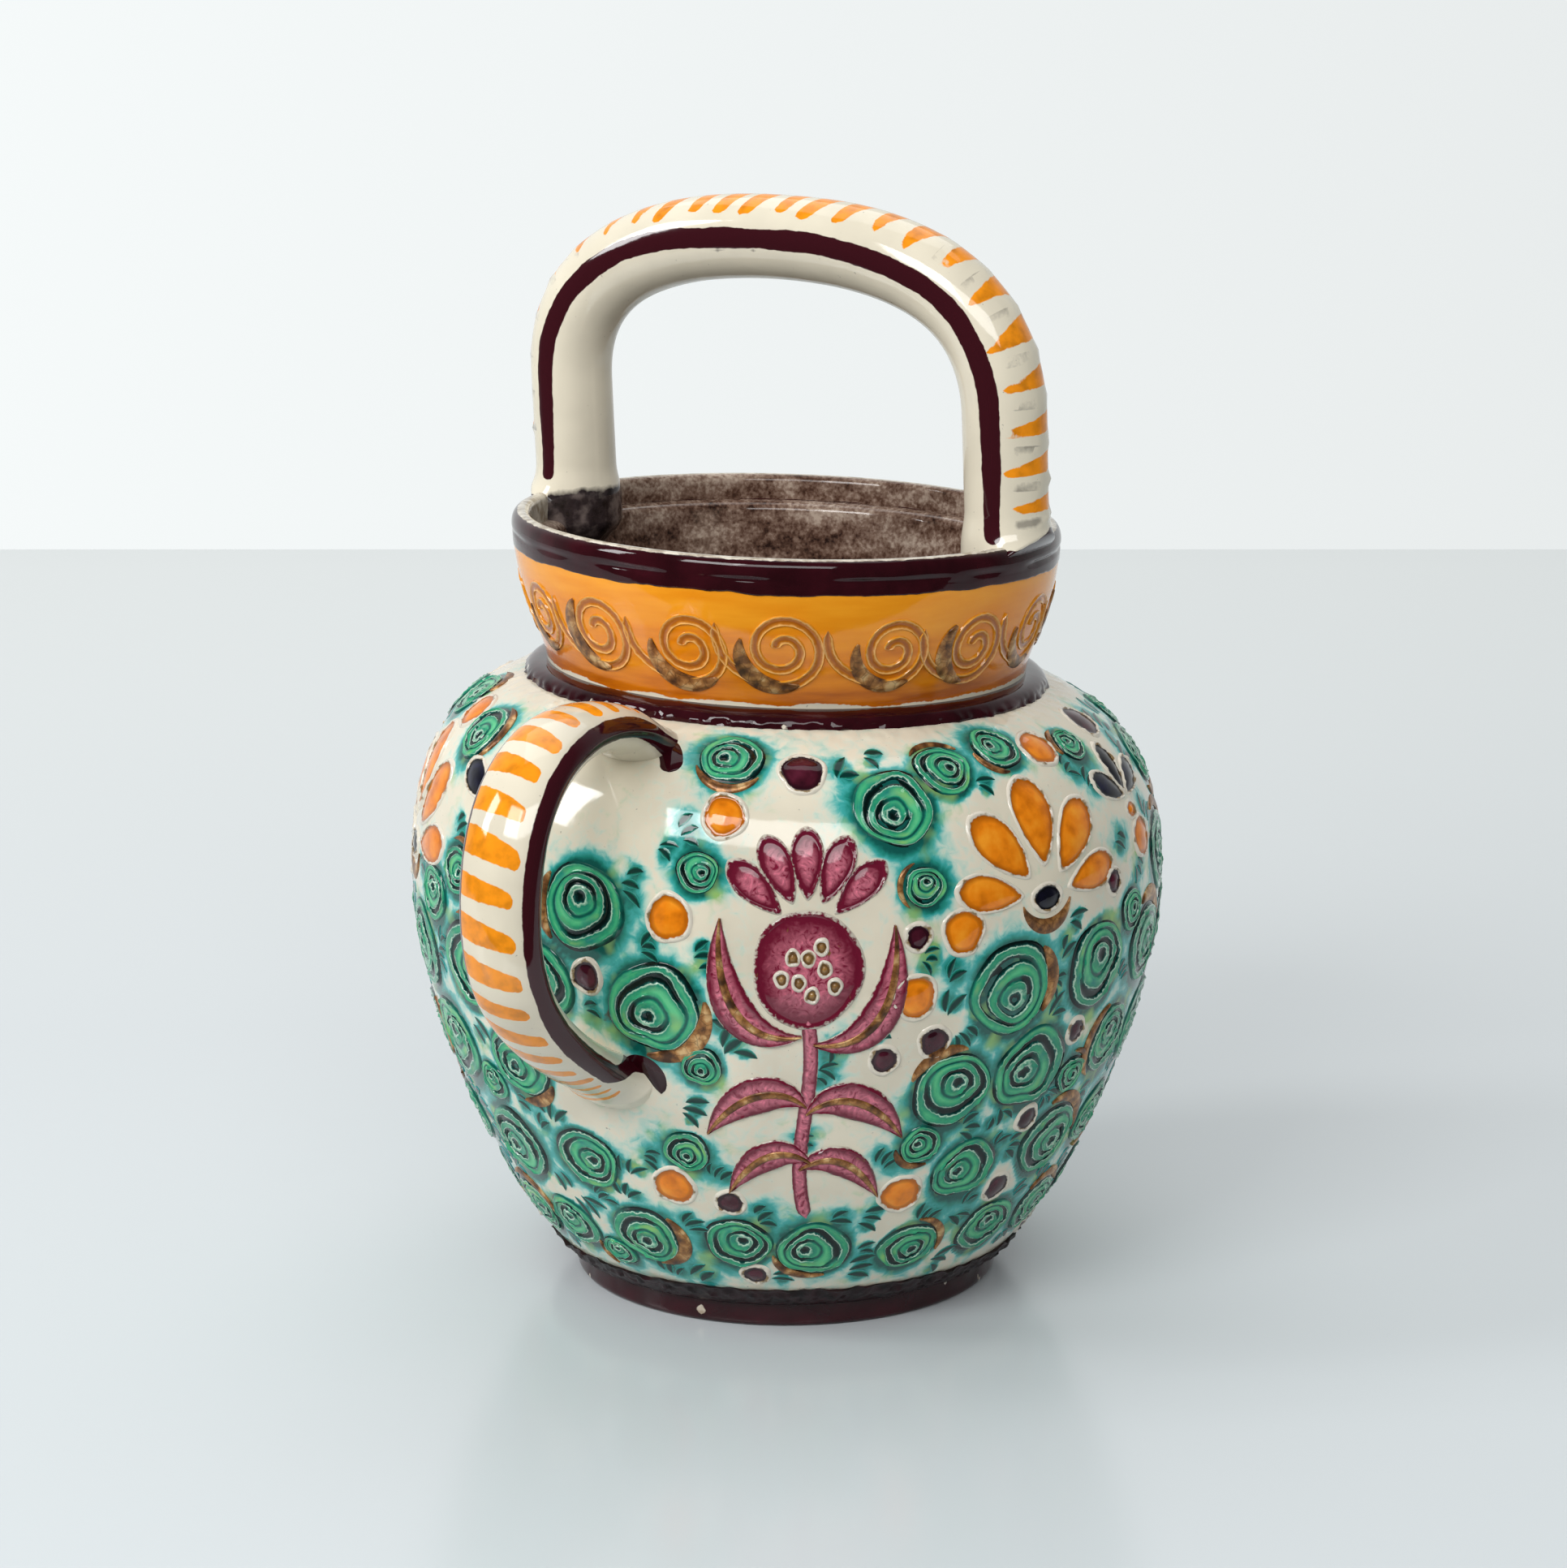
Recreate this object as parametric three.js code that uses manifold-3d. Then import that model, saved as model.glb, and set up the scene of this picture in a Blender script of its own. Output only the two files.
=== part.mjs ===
// Glazed earthenware jug: a thrown ovoid body on a pad foot, a flared collar with a rolled rim,
// a basket handle arched over the mouth and a loop handle on the belly.
// Millimetres, +Z up. The origin is the middle of the flat base. The basket handle stands in the XZ plane
// and the loop handle points along -Y.

import * as THREE from "three";
import { mergeVertices } from "three/addons/utils/BufferGeometryUtils.js";
import Module from "manifold-3d";

const wasm = await Module();
wasm.setup();

const degrees = THREE.MathUtils.degToRad;

// Film of dried slip left in every luted joint
const slip = 0.3;

// Foot
const footRadius = 39.6;
const footHeight = 4.5;
const footEdge = 1.2;

// Body
const baseOverhang = 0.6;
const baseSpread = 14.6;
const baseAngle = degrees(37);
const bellyRadius = 69.2;
const bellyHeight = 76.2;
const bellyFullnessBelow = 24.3;
const bellyFullnessAbove = 17.1;
const shoulderRise = 36.1;
const shoulderRadius = 48;
const shoulderRun = 17.2;
const shoulderAngle = degrees(16);
const bodyWall = 5;
const floorThickness = 6;

// Raised roundels, in staggered rows round the body between clear strips at the base and the shoulder
const roundelRows = 6;
const roundelColumns = 20;
const roundelBaseStrip = 18.1;
const roundelShoulderStrip = 20;
const roundelFill = 0.86;
const roundelRelief = 0.5;
const roundelSunk = 1.2;
const roundelSpread = 0.9;
const roundelLap = 0.3;

// How far the roundels stray from an even grid, as set by eye: round the body, up the wall and in size
const roundelTurn = degrees(1.7);
const roundelWander = 1.4;
const roundelShrink = 0.16;
const turnBeat = 2.1;
const wanderBeat = 1.3;
const shrinkBeat = 3.1;

// Circles that the roundels leave clear: aside from a bearing, up the wall from the belly, and radius
const loopRoom = [
  [0, 30, 15],
  [0, -26, 13],
];
const sprigRoom = [
  [0, 17, 12],
  [0, 0, 15],
  [-9, -28, 8],
  [9, -29, 8],
  [-6, -42, 7],
  [6, -43, 7],
];
const palmetteRoom = [
  [-11, 17, 10],
  [11, 17, 10],
  [0, 20, 9],
  [0, 7, 6],
];
const blossomRoom = [[0, 25, 8]];
const loopBearings = [-90];
const sprigBearings = [-58, 62, 182];
const palmetteBearings = [-20, 100, 220];
const blossomBearings = [-114, 6, 126];

// Raised fruit in the middle of each sprig
const fruitRadius = 10;
const fruitDrop = 1.2;

// Neck
const ringWidth = 3.7;
const ringHeight = 2.6;
const collarHeight = 24.8;
const collarWall = 4.4;
const collarFlare = 5.8;
const collarFootStraight = 3.5;
const collarTopStraight = 11;
const collarTopLean = 0.8;
const ledgeWidth = 3.2;
const ledgeDrop = 2.2;
const rimHeight = 4.5;
const rimThickness = 3.3;
const rimBulge = 0.5;

// Basket handle
const basketWidth = 15;
const basketThickness = 15.2;
const legInset = 5;
const legRise = 21.8;
const archRise = 57.8;
const archFullness = 0.66;
const archSway = 2.4;
const basketPadHeight = 5;
const basketPadFlare = 0.8;
const basketPadLap = 2.6;
const corbelDrop = 7;
const corbelFoot = 4;

// Loop handle: roots measured down from the shoulder and the belly, reach from the belly
const loopWidth = 15;
const loopThickness = 8.6;
const fingerGap = 24.1;
const loopReachRise = 12.2;
const loopTopDrop = 2;
const loopTopAngle = degrees(17.5);
const loopTopPull = 19.4;
const loopTopFullness = 21.8;
const loopTailDrop = 23.5;
const loopTailAngle = degrees(28.5);
const loopTailPull = 18.9;
const loopTailFullness = 13.2;
const loopPadReach = 7.6;
const loopPadFlare = 2;

// The soft pot settled as it dried: the rim plane dips towards this bearing, while the belly and the top
// of the arch stay level
const slumpAngle = degrees(1.75);
const slumpBearing = degrees(28.5);

// Facets
const turnSegments = 48;
const profileSteps = 8;
const roundSteps = 4;
const rodSteps = 36;
const rodSides = 16;
const roundelSides = 8;
const weld = 1e-3;

const bodyBottom = footHeight + slip;
const shoulderHeight = bellyHeight + shoulderRise;
const neckSeat = shoulderHeight + slip;
const ringTop = neckSeat + ringHeight;
const collarFootRadius = shoulderRadius - ringWidth - slip;
const collarTopRadius = collarFootRadius + collarFlare;
const neckBoreRadius = collarFootRadius - collarWall;
const ledgeHeight = neckSeat + collarHeight;
const rimSeat = ledgeHeight + slip;
const rimInnerRadius = collarTopRadius - rimThickness;
const ledgeInnerRadius = rimInnerRadius - ledgeWidth;
const lipHeight = rimSeat + rimHeight;
const overallHeight = lipHeight + archRise;
const legRadius = collarTopRadius - legInset;
const padTop = lipHeight + basketPadHeight;

const point = (radius, height) => new THREE.Vector2(radius, height);

// A point moved from another by a length along an angle
function along(start, length, angle) {
  return point(start.x + length * Math.cos(angle), start.y + length * Math.sin(angle));
}

// Points of a profile curve moved to its right, as seen going up it, by a distance
function offsetPoints(curve, distance) {
  const moved = [];
  for (let i = 0; i <= profileSteps; i++) {
    const tangent = curve.getTangent(i / profileSteps);
    const shift = point(tangent.y, -tangent.x).multiplyScalar(distance);
    moved.push(curve.getPoint(i / profileSteps).add(shift));
  }
  return moved;
}

// An outline's radius at a height
function radiusAt(outline, height) {
  const above = outline.findIndex((p) => p.y >= height);
  const [low, high] = [outline[above - 1], outline[above]];
  return THREE.MathUtils.mapLinear(height, low.y, high.y, low.x, high.x);
}

// A profile in radius and height, turned about the Z axis
function turned(profile, segments = turnSegments) {
  return new THREE.LatheGeometry(profile, segments).rotateX(Math.PI / 2);
}

function closed(profile) {
  return [...profile, profile[0]];
}

// A geometry as a solid that can be cut
function solid(geometry) {
  const bare = new THREE.BufferGeometry();
  bare.setAttribute("position", geometry.getAttribute("position").clone());
  bare.setIndex(geometry.index);
  const welded = mergeVertices(bare, weld);
  const kept = [];
  for (let i = 0; i < welded.index.count; i += 3) {
    const corners = [0, 1, 2].map((k) => welded.index.getX(i + k));
    if (new Set(corners).size === 3) kept.push(...corners);
  }
  const mesh = new wasm.Mesh({
    numProp: 3,
    vertProperties: welded.attributes.position.array,
    triVerts: new Uint32Array(kept),
  });
  return new wasm.Manifold(mesh);
}

// A cut or joined solid as a geometry again
function surface(made) {
  const mesh = made.getMesh();
  const geometry = new THREE.BufferGeometry();
  geometry.setAttribute("position", new THREE.BufferAttribute(mesh.vertProperties, 3));
  geometry.setIndex(new THREE.BufferAttribute(mesh.triVerts, 1));
  return geometry;
}

function cut(geometry, tool) {
  return surface(solid(geometry).subtract(solid(tool)));
}

function join(geometry, additions) {
  return surface(additions.reduce((made, addition) => made.add(solid(addition)), solid(geometry)));
}

// An oval rod along a path that lies in a plane: width is across the plane, thickness in it
function rod(path, width, thickness) {
  const section = new THREE.Shape().absellipse(0, 0, width / 2, thickness / 2, 0, 2 * Math.PI);
  return new THREE.ExtrudeGeometry(section, {
    steps: rodSteps,
    curveSegments: rodSides / 2,
    extrudePath: path,
  });
}

// How much of the slump acts at a height: none below the belly, all at the neck, none at the arch's top
function slumpShare(height) {
  const rise = THREE.MathUtils.smoothstep(height, bellyHeight, shoulderHeight);
  return rise * (1 - THREE.MathUtils.smoothstep(height, lipHeight, overallHeight));
}

// The finished shape after drying: the neck dips and the arch sways to the -X side as it rises
function settled(geometry) {
  const position = geometry.getAttribute("position");
  for (let i = 0; i < position.count; i++) {
    const [x, y, z] = [position.getX(i), position.getY(i), position.getZ(i)];
    const dip = Math.tan(slumpAngle) * (x * Math.cos(slumpBearing) + y * Math.sin(slumpBearing));
    const sway = (archSway * Math.max(0, z - lipHeight)) / archRise;
    position.setXYZ(i, x - sway, y, z - dip * slumpShare(z));
  }
  return geometry;
}

const cream = { color: 0xe6ddc8, roughness: 0.25, metalness: 0 };
const amber = { color: 0xe08a1e, roughness: 0.2, metalness: 0 };
const aubergine = { color: 0x3a0d1a, roughness: 0.15, metalness: 0 };

function piece(name, geometry, glaze) {
  const mesh = new THREE.Mesh(settled(geometry), new THREE.MeshStandardMaterial(glaze));
  mesh.name = name;
  return mesh;
}

// Body outline, from the base out to the belly and in again to the shoulder
const base = point(footRadius + baseOverhang, bodyBottom);
const belly = point(bellyRadius, bellyHeight);
const shoulder = point(shoulderRadius, shoulderHeight);
const lowerOutline = new THREE.CubicBezierCurve(
  base,
  along(base, baseSpread, baseAngle),
  point(bellyRadius, bellyHeight - bellyFullnessBelow),
  belly,
);
const upperOutline = new THREE.CubicBezierCurve(
  belly,
  point(bellyRadius, bellyHeight + bellyFullnessAbove),
  along(shoulder, shoulderRun, -shoulderAngle),
  shoulder,
);

// The outline moved out by a clearance, with the belly once
function bodyOutline(clearance) {
  return [...offsetPoints(lowerOutline, clearance), ...offsetPoints(upperOutline, clearance).slice(1)];
}

// The body's outside as one curve from the base to the shoulder, read by the length along it
const wall = new THREE.CurvePath();
wall.add(lowerOutline);
wall.add(upperOutline);
const wallLength = wall.getLength();
const bellyRun = lowerOutline.getLength();
const wallShare = (run) => THREE.MathUtils.clamp(run / wallLength, 0, 1);
const wallRadius = (run) => wall.getPoint(wallShare(run)).x;

// A point at a bearing and a length along the wall, lifted off it
function onWall(bearing, run, lift) {
  const tangent = wall.getTangent(wallShare(run));
  const out = point(tangent.y, -tangent.x).multiplyScalar(lift);
  const flat = wall.getPoint(wallShare(run)).add(out);
  return new THREE.Vector3(flat.x * Math.cos(bearing), flat.x * Math.sin(bearing), flat.y);
}

// Circles on the wall that belong to the larger motifs
function clearCircles() {
  const motifs = [
    [loopBearings, loopRoom],
    [sprigBearings, sprigRoom],
    [palmetteBearings, palmetteRoom],
    [blossomBearings, blossomRoom],
  ];
  return motifs.flatMap(([bearings, room]) =>
    bearings.flatMap((bearing) =>
      room.map(([aside, up, radius]) => {
        const run = bellyRun + up;
        return { bearing: degrees(bearing) + aside / wallRadius(run), run, radius };
      }),
    ),
  );
}

// Distance along the wall between the middles of two circles on it
function wallDistance(a, b) {
  const turned = THREE.MathUtils.euclideanModulo(a.bearing - b.bearing + Math.PI, 2 * Math.PI) - Math.PI;
  const mean = (wallRadius(a.run) + wallRadius(b.run)) / 2;
  return Math.hypot(turned * mean, a.run - b.run);
}

// Where the roundels sit: in staggered rows, left out where they would lap far into a clear circle
function roundelPlaces() {
  const clear = clearCircles();
  const rowPitch = (wallLength - roundelBaseStrip - roundelShoulderStrip) / (roundelRows - 1);
  const columnPitch = (2 * Math.PI) / roundelColumns;
  const places = [];
  for (let row = 0; row < roundelRows; row++) {
    const level = roundelBaseStrip + row * rowPitch;
    const largest = (roundelFill * columnPitch * wallRadius(level)) / 2;
    for (let column = 0; column < roundelColumns; column++) {
      const number = row * roundelColumns + column;
      const bearing = columnPitch * (column + (row % 2) / 2) + roundelTurn * Math.sin(turnBeat * number);
      const run = level + roundelWander * Math.sin(wanderBeat * number);
      const radius = largest * (1 - (roundelShrink * (1 - Math.sin(shrinkBeat * number))) / 2);
      const place = { bearing, run, radius };
      const reach = (1 - roundelLap) * radius;
      if (clear.every((circle) => wallDistance(place, circle) > circle.radius + reach)) {
        places.push(place);
      }
    }
  }
  return places;
}

// A low disc of clay that follows the wall, with its underside sunk into it
function raisedDisc({ bearing, run, radius }) {
  const disc = new THREE.CylinderGeometry(radius, radius + roundelSpread, 2, roundelSides);
  const position = disc.getAttribute("position");
  for (let i = 0; i < position.count; i++) {
    const [aside, up] = [position.getX(i), -position.getZ(i)];
    const lift = position.getY(i) > 0 ? roundelRelief : -roundelSunk;
    const placed = onWall(bearing + aside / wallRadius(run + up), run + up, lift);
    position.setXYZ(i, placed.x, placed.y, placed.z);
  }
  return disc;
}

function footPad() {
  const edge = new THREE.QuadraticBezierCurve(
    point(footRadius - footEdge, 0),
    point(footRadius, 0),
    point(footRadius, footEdge),
  );
  const top = [point(footRadius, footHeight), point(0, footHeight)];
  return turned([point(0, 0), ...edge.getPoints(roundSteps), ...top]);
}

function body() {
  const floor = bodyBottom + floorThickness;
  const inside = bodyOutline(-bodyWall).reverse();
  const shell = turned([
    point(0, bodyBottom),
    ...bodyOutline(0),
    point(neckBoreRadius, shoulderHeight),
    point(neckBoreRadius, shoulderHeight - bodyWall),
    ...inside.map((p) => point(p.x, Math.max(p.y, floor))),
    point(0, floor),
  ]);
  const fruits = sprigBearings.map((bearing) => ({
    bearing: degrees(bearing),
    run: bellyRun - fruitDrop,
    radius: fruitRadius,
  }));
  return join(shell, [...roundelPlaces(), ...fruits].map(raisedDisc));
}

// A coil of clay pressed into the corner between the shoulder and the collar
function shoulderRing() {
  const inner = collarFootRadius + slip;
  const slope = new THREE.QuadraticBezierCurve(
    point(shoulderRadius, neckSeat),
    point(shoulderRadius, ringTop),
    point(inner, ringTop),
  );
  return turned(closed([point(inner, neckSeat), ...slope.getPoints(roundSteps)]));
}

function collar() {
  const outside = new THREE.CubicBezierCurve(
    point(collarFootRadius, ringTop),
    point(collarFootRadius, ringTop + collarFootStraight),
    point(collarTopRadius - collarTopLean, ledgeHeight - collarTopStraight),
    point(collarTopRadius, ledgeHeight),
  );
  const ledge = new THREE.QuadraticBezierCurve(
    point(rimInnerRadius, ledgeHeight),
    point(ledgeInnerRadius, ledgeHeight),
    point(ledgeInnerRadius, ledgeHeight - ledgeDrop),
  );
  return turned(
    closed([
      point(neckBoreRadius, neckSeat),
      point(collarFootRadius, neckSeat),
      ...outside.getPoints(profileSteps),
      ...ledge.getPoints(roundSteps),
    ]),
  );
}

function rimBand() {
  const middle = (rimSeat + lipHeight) / 2;
  const crest = (collarTopRadius + rimInnerRadius) / 2;
  const outside = new THREE.CubicBezierCurve(
    point(collarTopRadius, rimSeat),
    point(collarTopRadius + rimBulge, middle),
    point(collarTopRadius + rimBulge, lipHeight),
    point(crest, lipHeight),
  );
  const inside = new THREE.QuadraticBezierCurve(
    point(crest, lipHeight),
    point(rimInnerRadius, lipHeight),
    point(rimInnerRadius, middle),
  );
  return turned(
    closed([
      point(rimInnerRadius, rimSeat),
      ...outside.getPoints(profileSteps),
      ...inside.getPoints(roundSteps).slice(1),
    ]),
  );
}

function basketHandle() {
  const foot = padTop + slip;
  const spring = lipHeight + legRise;
  const crown = overallHeight - basketThickness / 2;
  const pulled = spring + archFullness * (crown - spring);
  const at = (x, z) => new THREE.Vector3(x, 0, z);
  const path = new THREE.CurvePath();
  path.add(new THREE.LineCurve3(at(-legRadius, foot), at(-legRadius, spring)));
  path.add(
    new THREE.CubicBezierCurve3(
      at(-legRadius, spring),
      at(-legRadius, pulled),
      at(-legRadius * archFullness, crown),
      at(0, crown),
    ),
  );
  path.add(
    new THREE.CubicBezierCurve3(
      at(0, crown),
      at(legRadius * archFullness, crown),
      at(legRadius, pulled),
      at(legRadius, spring),
    ),
  );
  path.add(new THREE.LineCurve3(at(legRadius, spring), at(legRadius, foot)));
  return rod(path, basketWidth, basketThickness);
}

// The neck's space with its film of slip: wall, ledge and rim, and outside the rim what the pad doesn't lap
function neckSpace() {
  const wide = collarTopRadius + basketThickness;
  const lapRadius = collarTopRadius + rimBulge + slip;
  return turned(
    closed([
      point(neckBoreRadius - slip, neckSeat),
      point(wide, neckSeat),
      point(wide, lipHeight - basketPadLap),
      point(lapRadius, lipHeight - basketPadLap),
      point(lapRadius, lipHeight + slip),
      point(rimInnerRadius - slip, lipHeight + slip),
      point(rimInnerRadius - slip, ledgeHeight + slip),
      point(ledgeInnerRadius - slip, ledgeHeight + slip),
      point(ledgeInnerRadius - slip, ledgeHeight - ledgeDrop),
    ]),
  );
}

// A pad of clay under one leg of the arch: it stands on the ledge, laps over the rim and tapers down
// inside the mouth
function basketPad(side) {
  const legHalf = basketThickness / 2;
  const corbelBottom = ledgeHeight - corbelDrop;
  const pad = turned(
    [
      point(0, corbelBottom),
      point(corbelFoot, corbelBottom),
      point(legHalf + basketPadFlare, ledgeHeight),
      point(legHalf + basketPadFlare, lipHeight),
      point(legHalf, padTop),
      point(0, padTop),
    ],
    rodSides,
  );
  pad.scale(1, basketWidth / basketThickness, 1).translate(side * legRadius, 0, 0);
  return cut(pad, neckSpace());
}

const loopReach = bellyRadius + fingerGap + loopThickness / 2;
const loopReachHeight = bellyHeight + loopReachRise;
const loopRoot = (height) => point(radiusAt(bodyOutline(0), height), height);
const loopTopRoot = loopRoot(shoulderHeight - loopTopDrop);
const loopTailRoot = loopRoot(bellyHeight - loopTailDrop);

function sideHandle() {
  const at = (flat) => new THREE.Vector3(0, -flat.x, flat.y);
  const top = along(loopTopRoot, loopPadReach + slip, loopTopAngle);
  const tail = along(loopTailRoot, loopPadReach + slip, loopTailAngle);
  const path = new THREE.CurvePath();
  path.add(
    new THREE.CubicBezierCurve3(
      at(top),
      at(along(top, loopTopPull, loopTopAngle)),
      at(point(loopReach, loopReachHeight + loopTopFullness)),
      at(point(loopReach, loopReachHeight)),
    ),
  );
  path.add(
    new THREE.CubicBezierCurve3(
      at(point(loopReach, loopReachHeight)),
      at(point(loopReach, loopReachHeight - loopTailFullness)),
      at(along(tail, loopTailPull, loopTailAngle)),
      at(tail),
    ),
  );
  return rod(path, loopWidth, loopThickness);
}

// The body's space with its film of slip, and the neck above it
function vesselSpace() {
  const outside = bodyOutline(slip);
  const column = shoulderRadius + slip;
  return turned([
    point(0, bodyBottom),
    ...outside.slice(0, -1),
    point(column, shoulderHeight + slip),
    point(column, lipHeight),
    point(0, lipHeight),
  ]);
}

// A pad of clay that spreads from the end of the loop onto the body
function loopPad(root, angle) {
  const sunk = 2 * bodyWall;
  const length = loopPadReach + sunk;
  const rootRadius = loopThickness / 2 + loopPadFlare;
  const pad = new THREE.CylinderGeometry(loopThickness / 2, rootRadius, length, rodSides);
  pad.scale(loopWidth / loopThickness, 1, 1).rotateX(Math.PI - angle);
  const middle = along(root, loopPadReach - length / 2, angle);
  pad.translate(0, -middle.x, middle.y);
  return cut(pad, vesselSpace());
}

const jug = new THREE.Group();
jug.add(
  piece("foot_pad", footPad(), aubergine),
  piece("body", body(), cream),
  piece("shoulder_ring", shoulderRing(), aubergine),
  piece("collar", collar(), amber),
  piece("rim_band", rimBand(), aubergine),
  piece("basket_handle", basketHandle(), cream),
  piece("basket_handle_pad_left", basketPad(-1), cream),
  piece("basket_handle_pad_right", basketPad(1), cream),
  piece("side_handle", sideHandle(), cream),
  piece("side_handle_upper_pad", loopPad(loopTopRoot, loopTopAngle), cream),
  piece("side_handle_lower_pad", loopPad(loopTailRoot, loopTailAngle), cream),
);

export default jug;
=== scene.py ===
"""Dresses an earthenware jug: a turned pot with luted handles, cut and coloured under a clear glaze."""

import functools
import math
import random
from collections import namedtuple

import bpy
import numpy as np
from bpy.props import FloatProperty, FloatVectorProperty, IntProperty, PointerProperty
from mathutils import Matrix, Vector, noise


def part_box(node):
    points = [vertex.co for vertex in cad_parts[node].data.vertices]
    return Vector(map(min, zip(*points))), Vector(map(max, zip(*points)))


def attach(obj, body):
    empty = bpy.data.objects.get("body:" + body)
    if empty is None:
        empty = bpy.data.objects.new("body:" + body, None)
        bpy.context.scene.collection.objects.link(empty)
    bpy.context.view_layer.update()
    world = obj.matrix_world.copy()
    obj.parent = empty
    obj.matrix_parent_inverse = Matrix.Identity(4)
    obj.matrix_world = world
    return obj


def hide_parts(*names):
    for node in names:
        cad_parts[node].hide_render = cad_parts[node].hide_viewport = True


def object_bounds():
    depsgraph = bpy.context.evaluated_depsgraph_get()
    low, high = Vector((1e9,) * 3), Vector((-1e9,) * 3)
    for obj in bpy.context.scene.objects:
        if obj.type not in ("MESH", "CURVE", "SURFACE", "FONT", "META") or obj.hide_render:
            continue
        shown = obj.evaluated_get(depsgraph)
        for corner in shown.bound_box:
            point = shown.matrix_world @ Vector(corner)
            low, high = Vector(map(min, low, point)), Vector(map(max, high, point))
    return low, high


bl_info = {
    "name": "Earthenware jug",
    "version": (1, 0, 0),
    "blender": (4, 5, 0),
    "location": "View3D > Sidebar > Jug",
    "description": "Models and glazes an earthenware jug around its frame",
    "category": "Add Mesh",
}

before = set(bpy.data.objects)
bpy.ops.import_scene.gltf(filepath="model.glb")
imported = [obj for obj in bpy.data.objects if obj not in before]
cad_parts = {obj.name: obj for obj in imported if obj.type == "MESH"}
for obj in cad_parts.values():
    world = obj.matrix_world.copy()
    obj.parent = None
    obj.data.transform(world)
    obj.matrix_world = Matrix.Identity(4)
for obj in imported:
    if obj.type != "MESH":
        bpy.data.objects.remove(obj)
CAD_BOX = [list(corner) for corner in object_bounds()]

# The script works in millimetres, and meshes are written in metres
MM = 0.001
CAD_LIMITS = np.array(CAD_BOX) / MM
X, Y, Z = range(3)
SEED = 11


def extent(node, axis):
    """Lowest and highest place of a CAD node along an axis, in millimetres."""
    low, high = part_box(node)
    return low[axis] / MM, high[axis] / MM


OVERALL_HEIGHT = CAD_BOX[1][Z] / MM

# Foot and body
FOOT_RADIUS = extent("foot_pad", X)[1]
FOOT_HEIGHT = extent("foot_pad", Z)[1]
FOOT_EDGE = 1.2
BODY_BOTTOM = extent("body", Z)[0]
BELLY_RADIUS, BELLY_HEIGHT = 69.2, 76.2
BASE = (FOOT_RADIUS + 0.6, BODY_BOTTOM)
BASE_SPREAD, BASE_ANGLE = 14.6, math.radians(37)
BELLY_BELOW, BELLY_ABOVE = 24.3, 17.1
SHOULDER = (extent("shoulder_ring", X)[1], 112.3)
SHOULDER_RUN, SHOULDER_ANGLE = 17.2, math.radians(16)
BODY_WALL, FLOOR = 5.0, BODY_BOTTOM + 6.0
FOOT_BAND = 8.8

# Neck
RING_TOP = 115.2
COLLAR_FOOT = (44.0, RING_TOP)
COLLAR_TOP = (49.8, 137.4)
COLLAR_FOOT_STRAIGHT, COLLAR_TOP_STRAIGHT, COLLAR_LEAN = 3.5, 11.0, 0.8
NECK_BORE = 39.6
LEDGE_INNER, LEDGE_DROP = 43.3, 2.2
RIM_SEAT, RIM_INNER, RIM_BULGE = 137.7, 46.5, 0.5
LIP_HEIGHT = 142.2
RIM_SKIRT, RIM_SKIN = 136.0, 0.16
COLLAR_LINE = 115.7
NECK_COLUMNS = 420
# Heights at which the collar's amber is thickest and thinnest
AMBER_POOLED, AMBER_THIN = 113.0, 139.0

# Sides of a handle's section
HANDLE_SIDES = 96

# Basket handle
BASKET_WIDTH, BASKET_THICKNESS = 15.0, 15.2
LEG_RADIUS, SPRING_HEIGHT, ARCH_FULLNESS = 44.8, 164.0, 0.66
CROWN_HEIGHT = extent("basket_handle", Z)[1] - BASKET_THICKNESS / 2
PAD_TOP, CORBEL_BOTTOM, CORBEL_FOOT = 147.4, 130.4, 4.0
ARCH_SWAY = 2.4

# Loop handle
LOOP_WIDTH, LOOP_THICKNESS = 15.0, 8.6
LOOP_REACH = -extent("side_handle", Y)[0] - LOOP_THICKNESS / 2
LOOP_REACH_HEIGHT = 88.4
LOOP_TOP_HEIGHT, LOOP_TOP_ANGLE, LOOP_TOP_PULL, LOOP_TOP_FULLNESS = 110.3, math.radians(17.5), 19.4, 21.8
LOOP_TAIL_HEIGHT, LOOP_TAIL_ANGLE, LOOP_TAIL_PULL, LOOP_TAIL_FULLNESS = 52.7, math.radians(28.5), 18.9, 13.2
LOOP_PAD = 7.9
LOOP_SUNK = 5.0
LOOP_BEARING = math.radians(-90)

# The rim plane dips towards a bearing, as the soft pot settled
SLUMP, SLUMP_BEARING = math.radians(1.75), math.radians(28.5)

# Raised roundels, in staggered rows round the body between clear strips at the base and the shoulder
ROUNDEL_ROWS, ROUNDEL_COLUMNS = 6, 20
ROUNDEL_BASE_STRIP, ROUNDEL_SHOULDER_STRIP = 18.1, 20.0
ROUNDEL_FILL, ROUNDEL_LAP = 0.86, 0.3
ROUNDEL_TURN, ROUNDEL_WANDER, ROUNDEL_SHRINK = math.radians(1.7), 1.4, 0.16
TURN_BEAT, WANDER_BEAT, SHRINK_BEAT = 2.1, 1.3, 3.1

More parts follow.
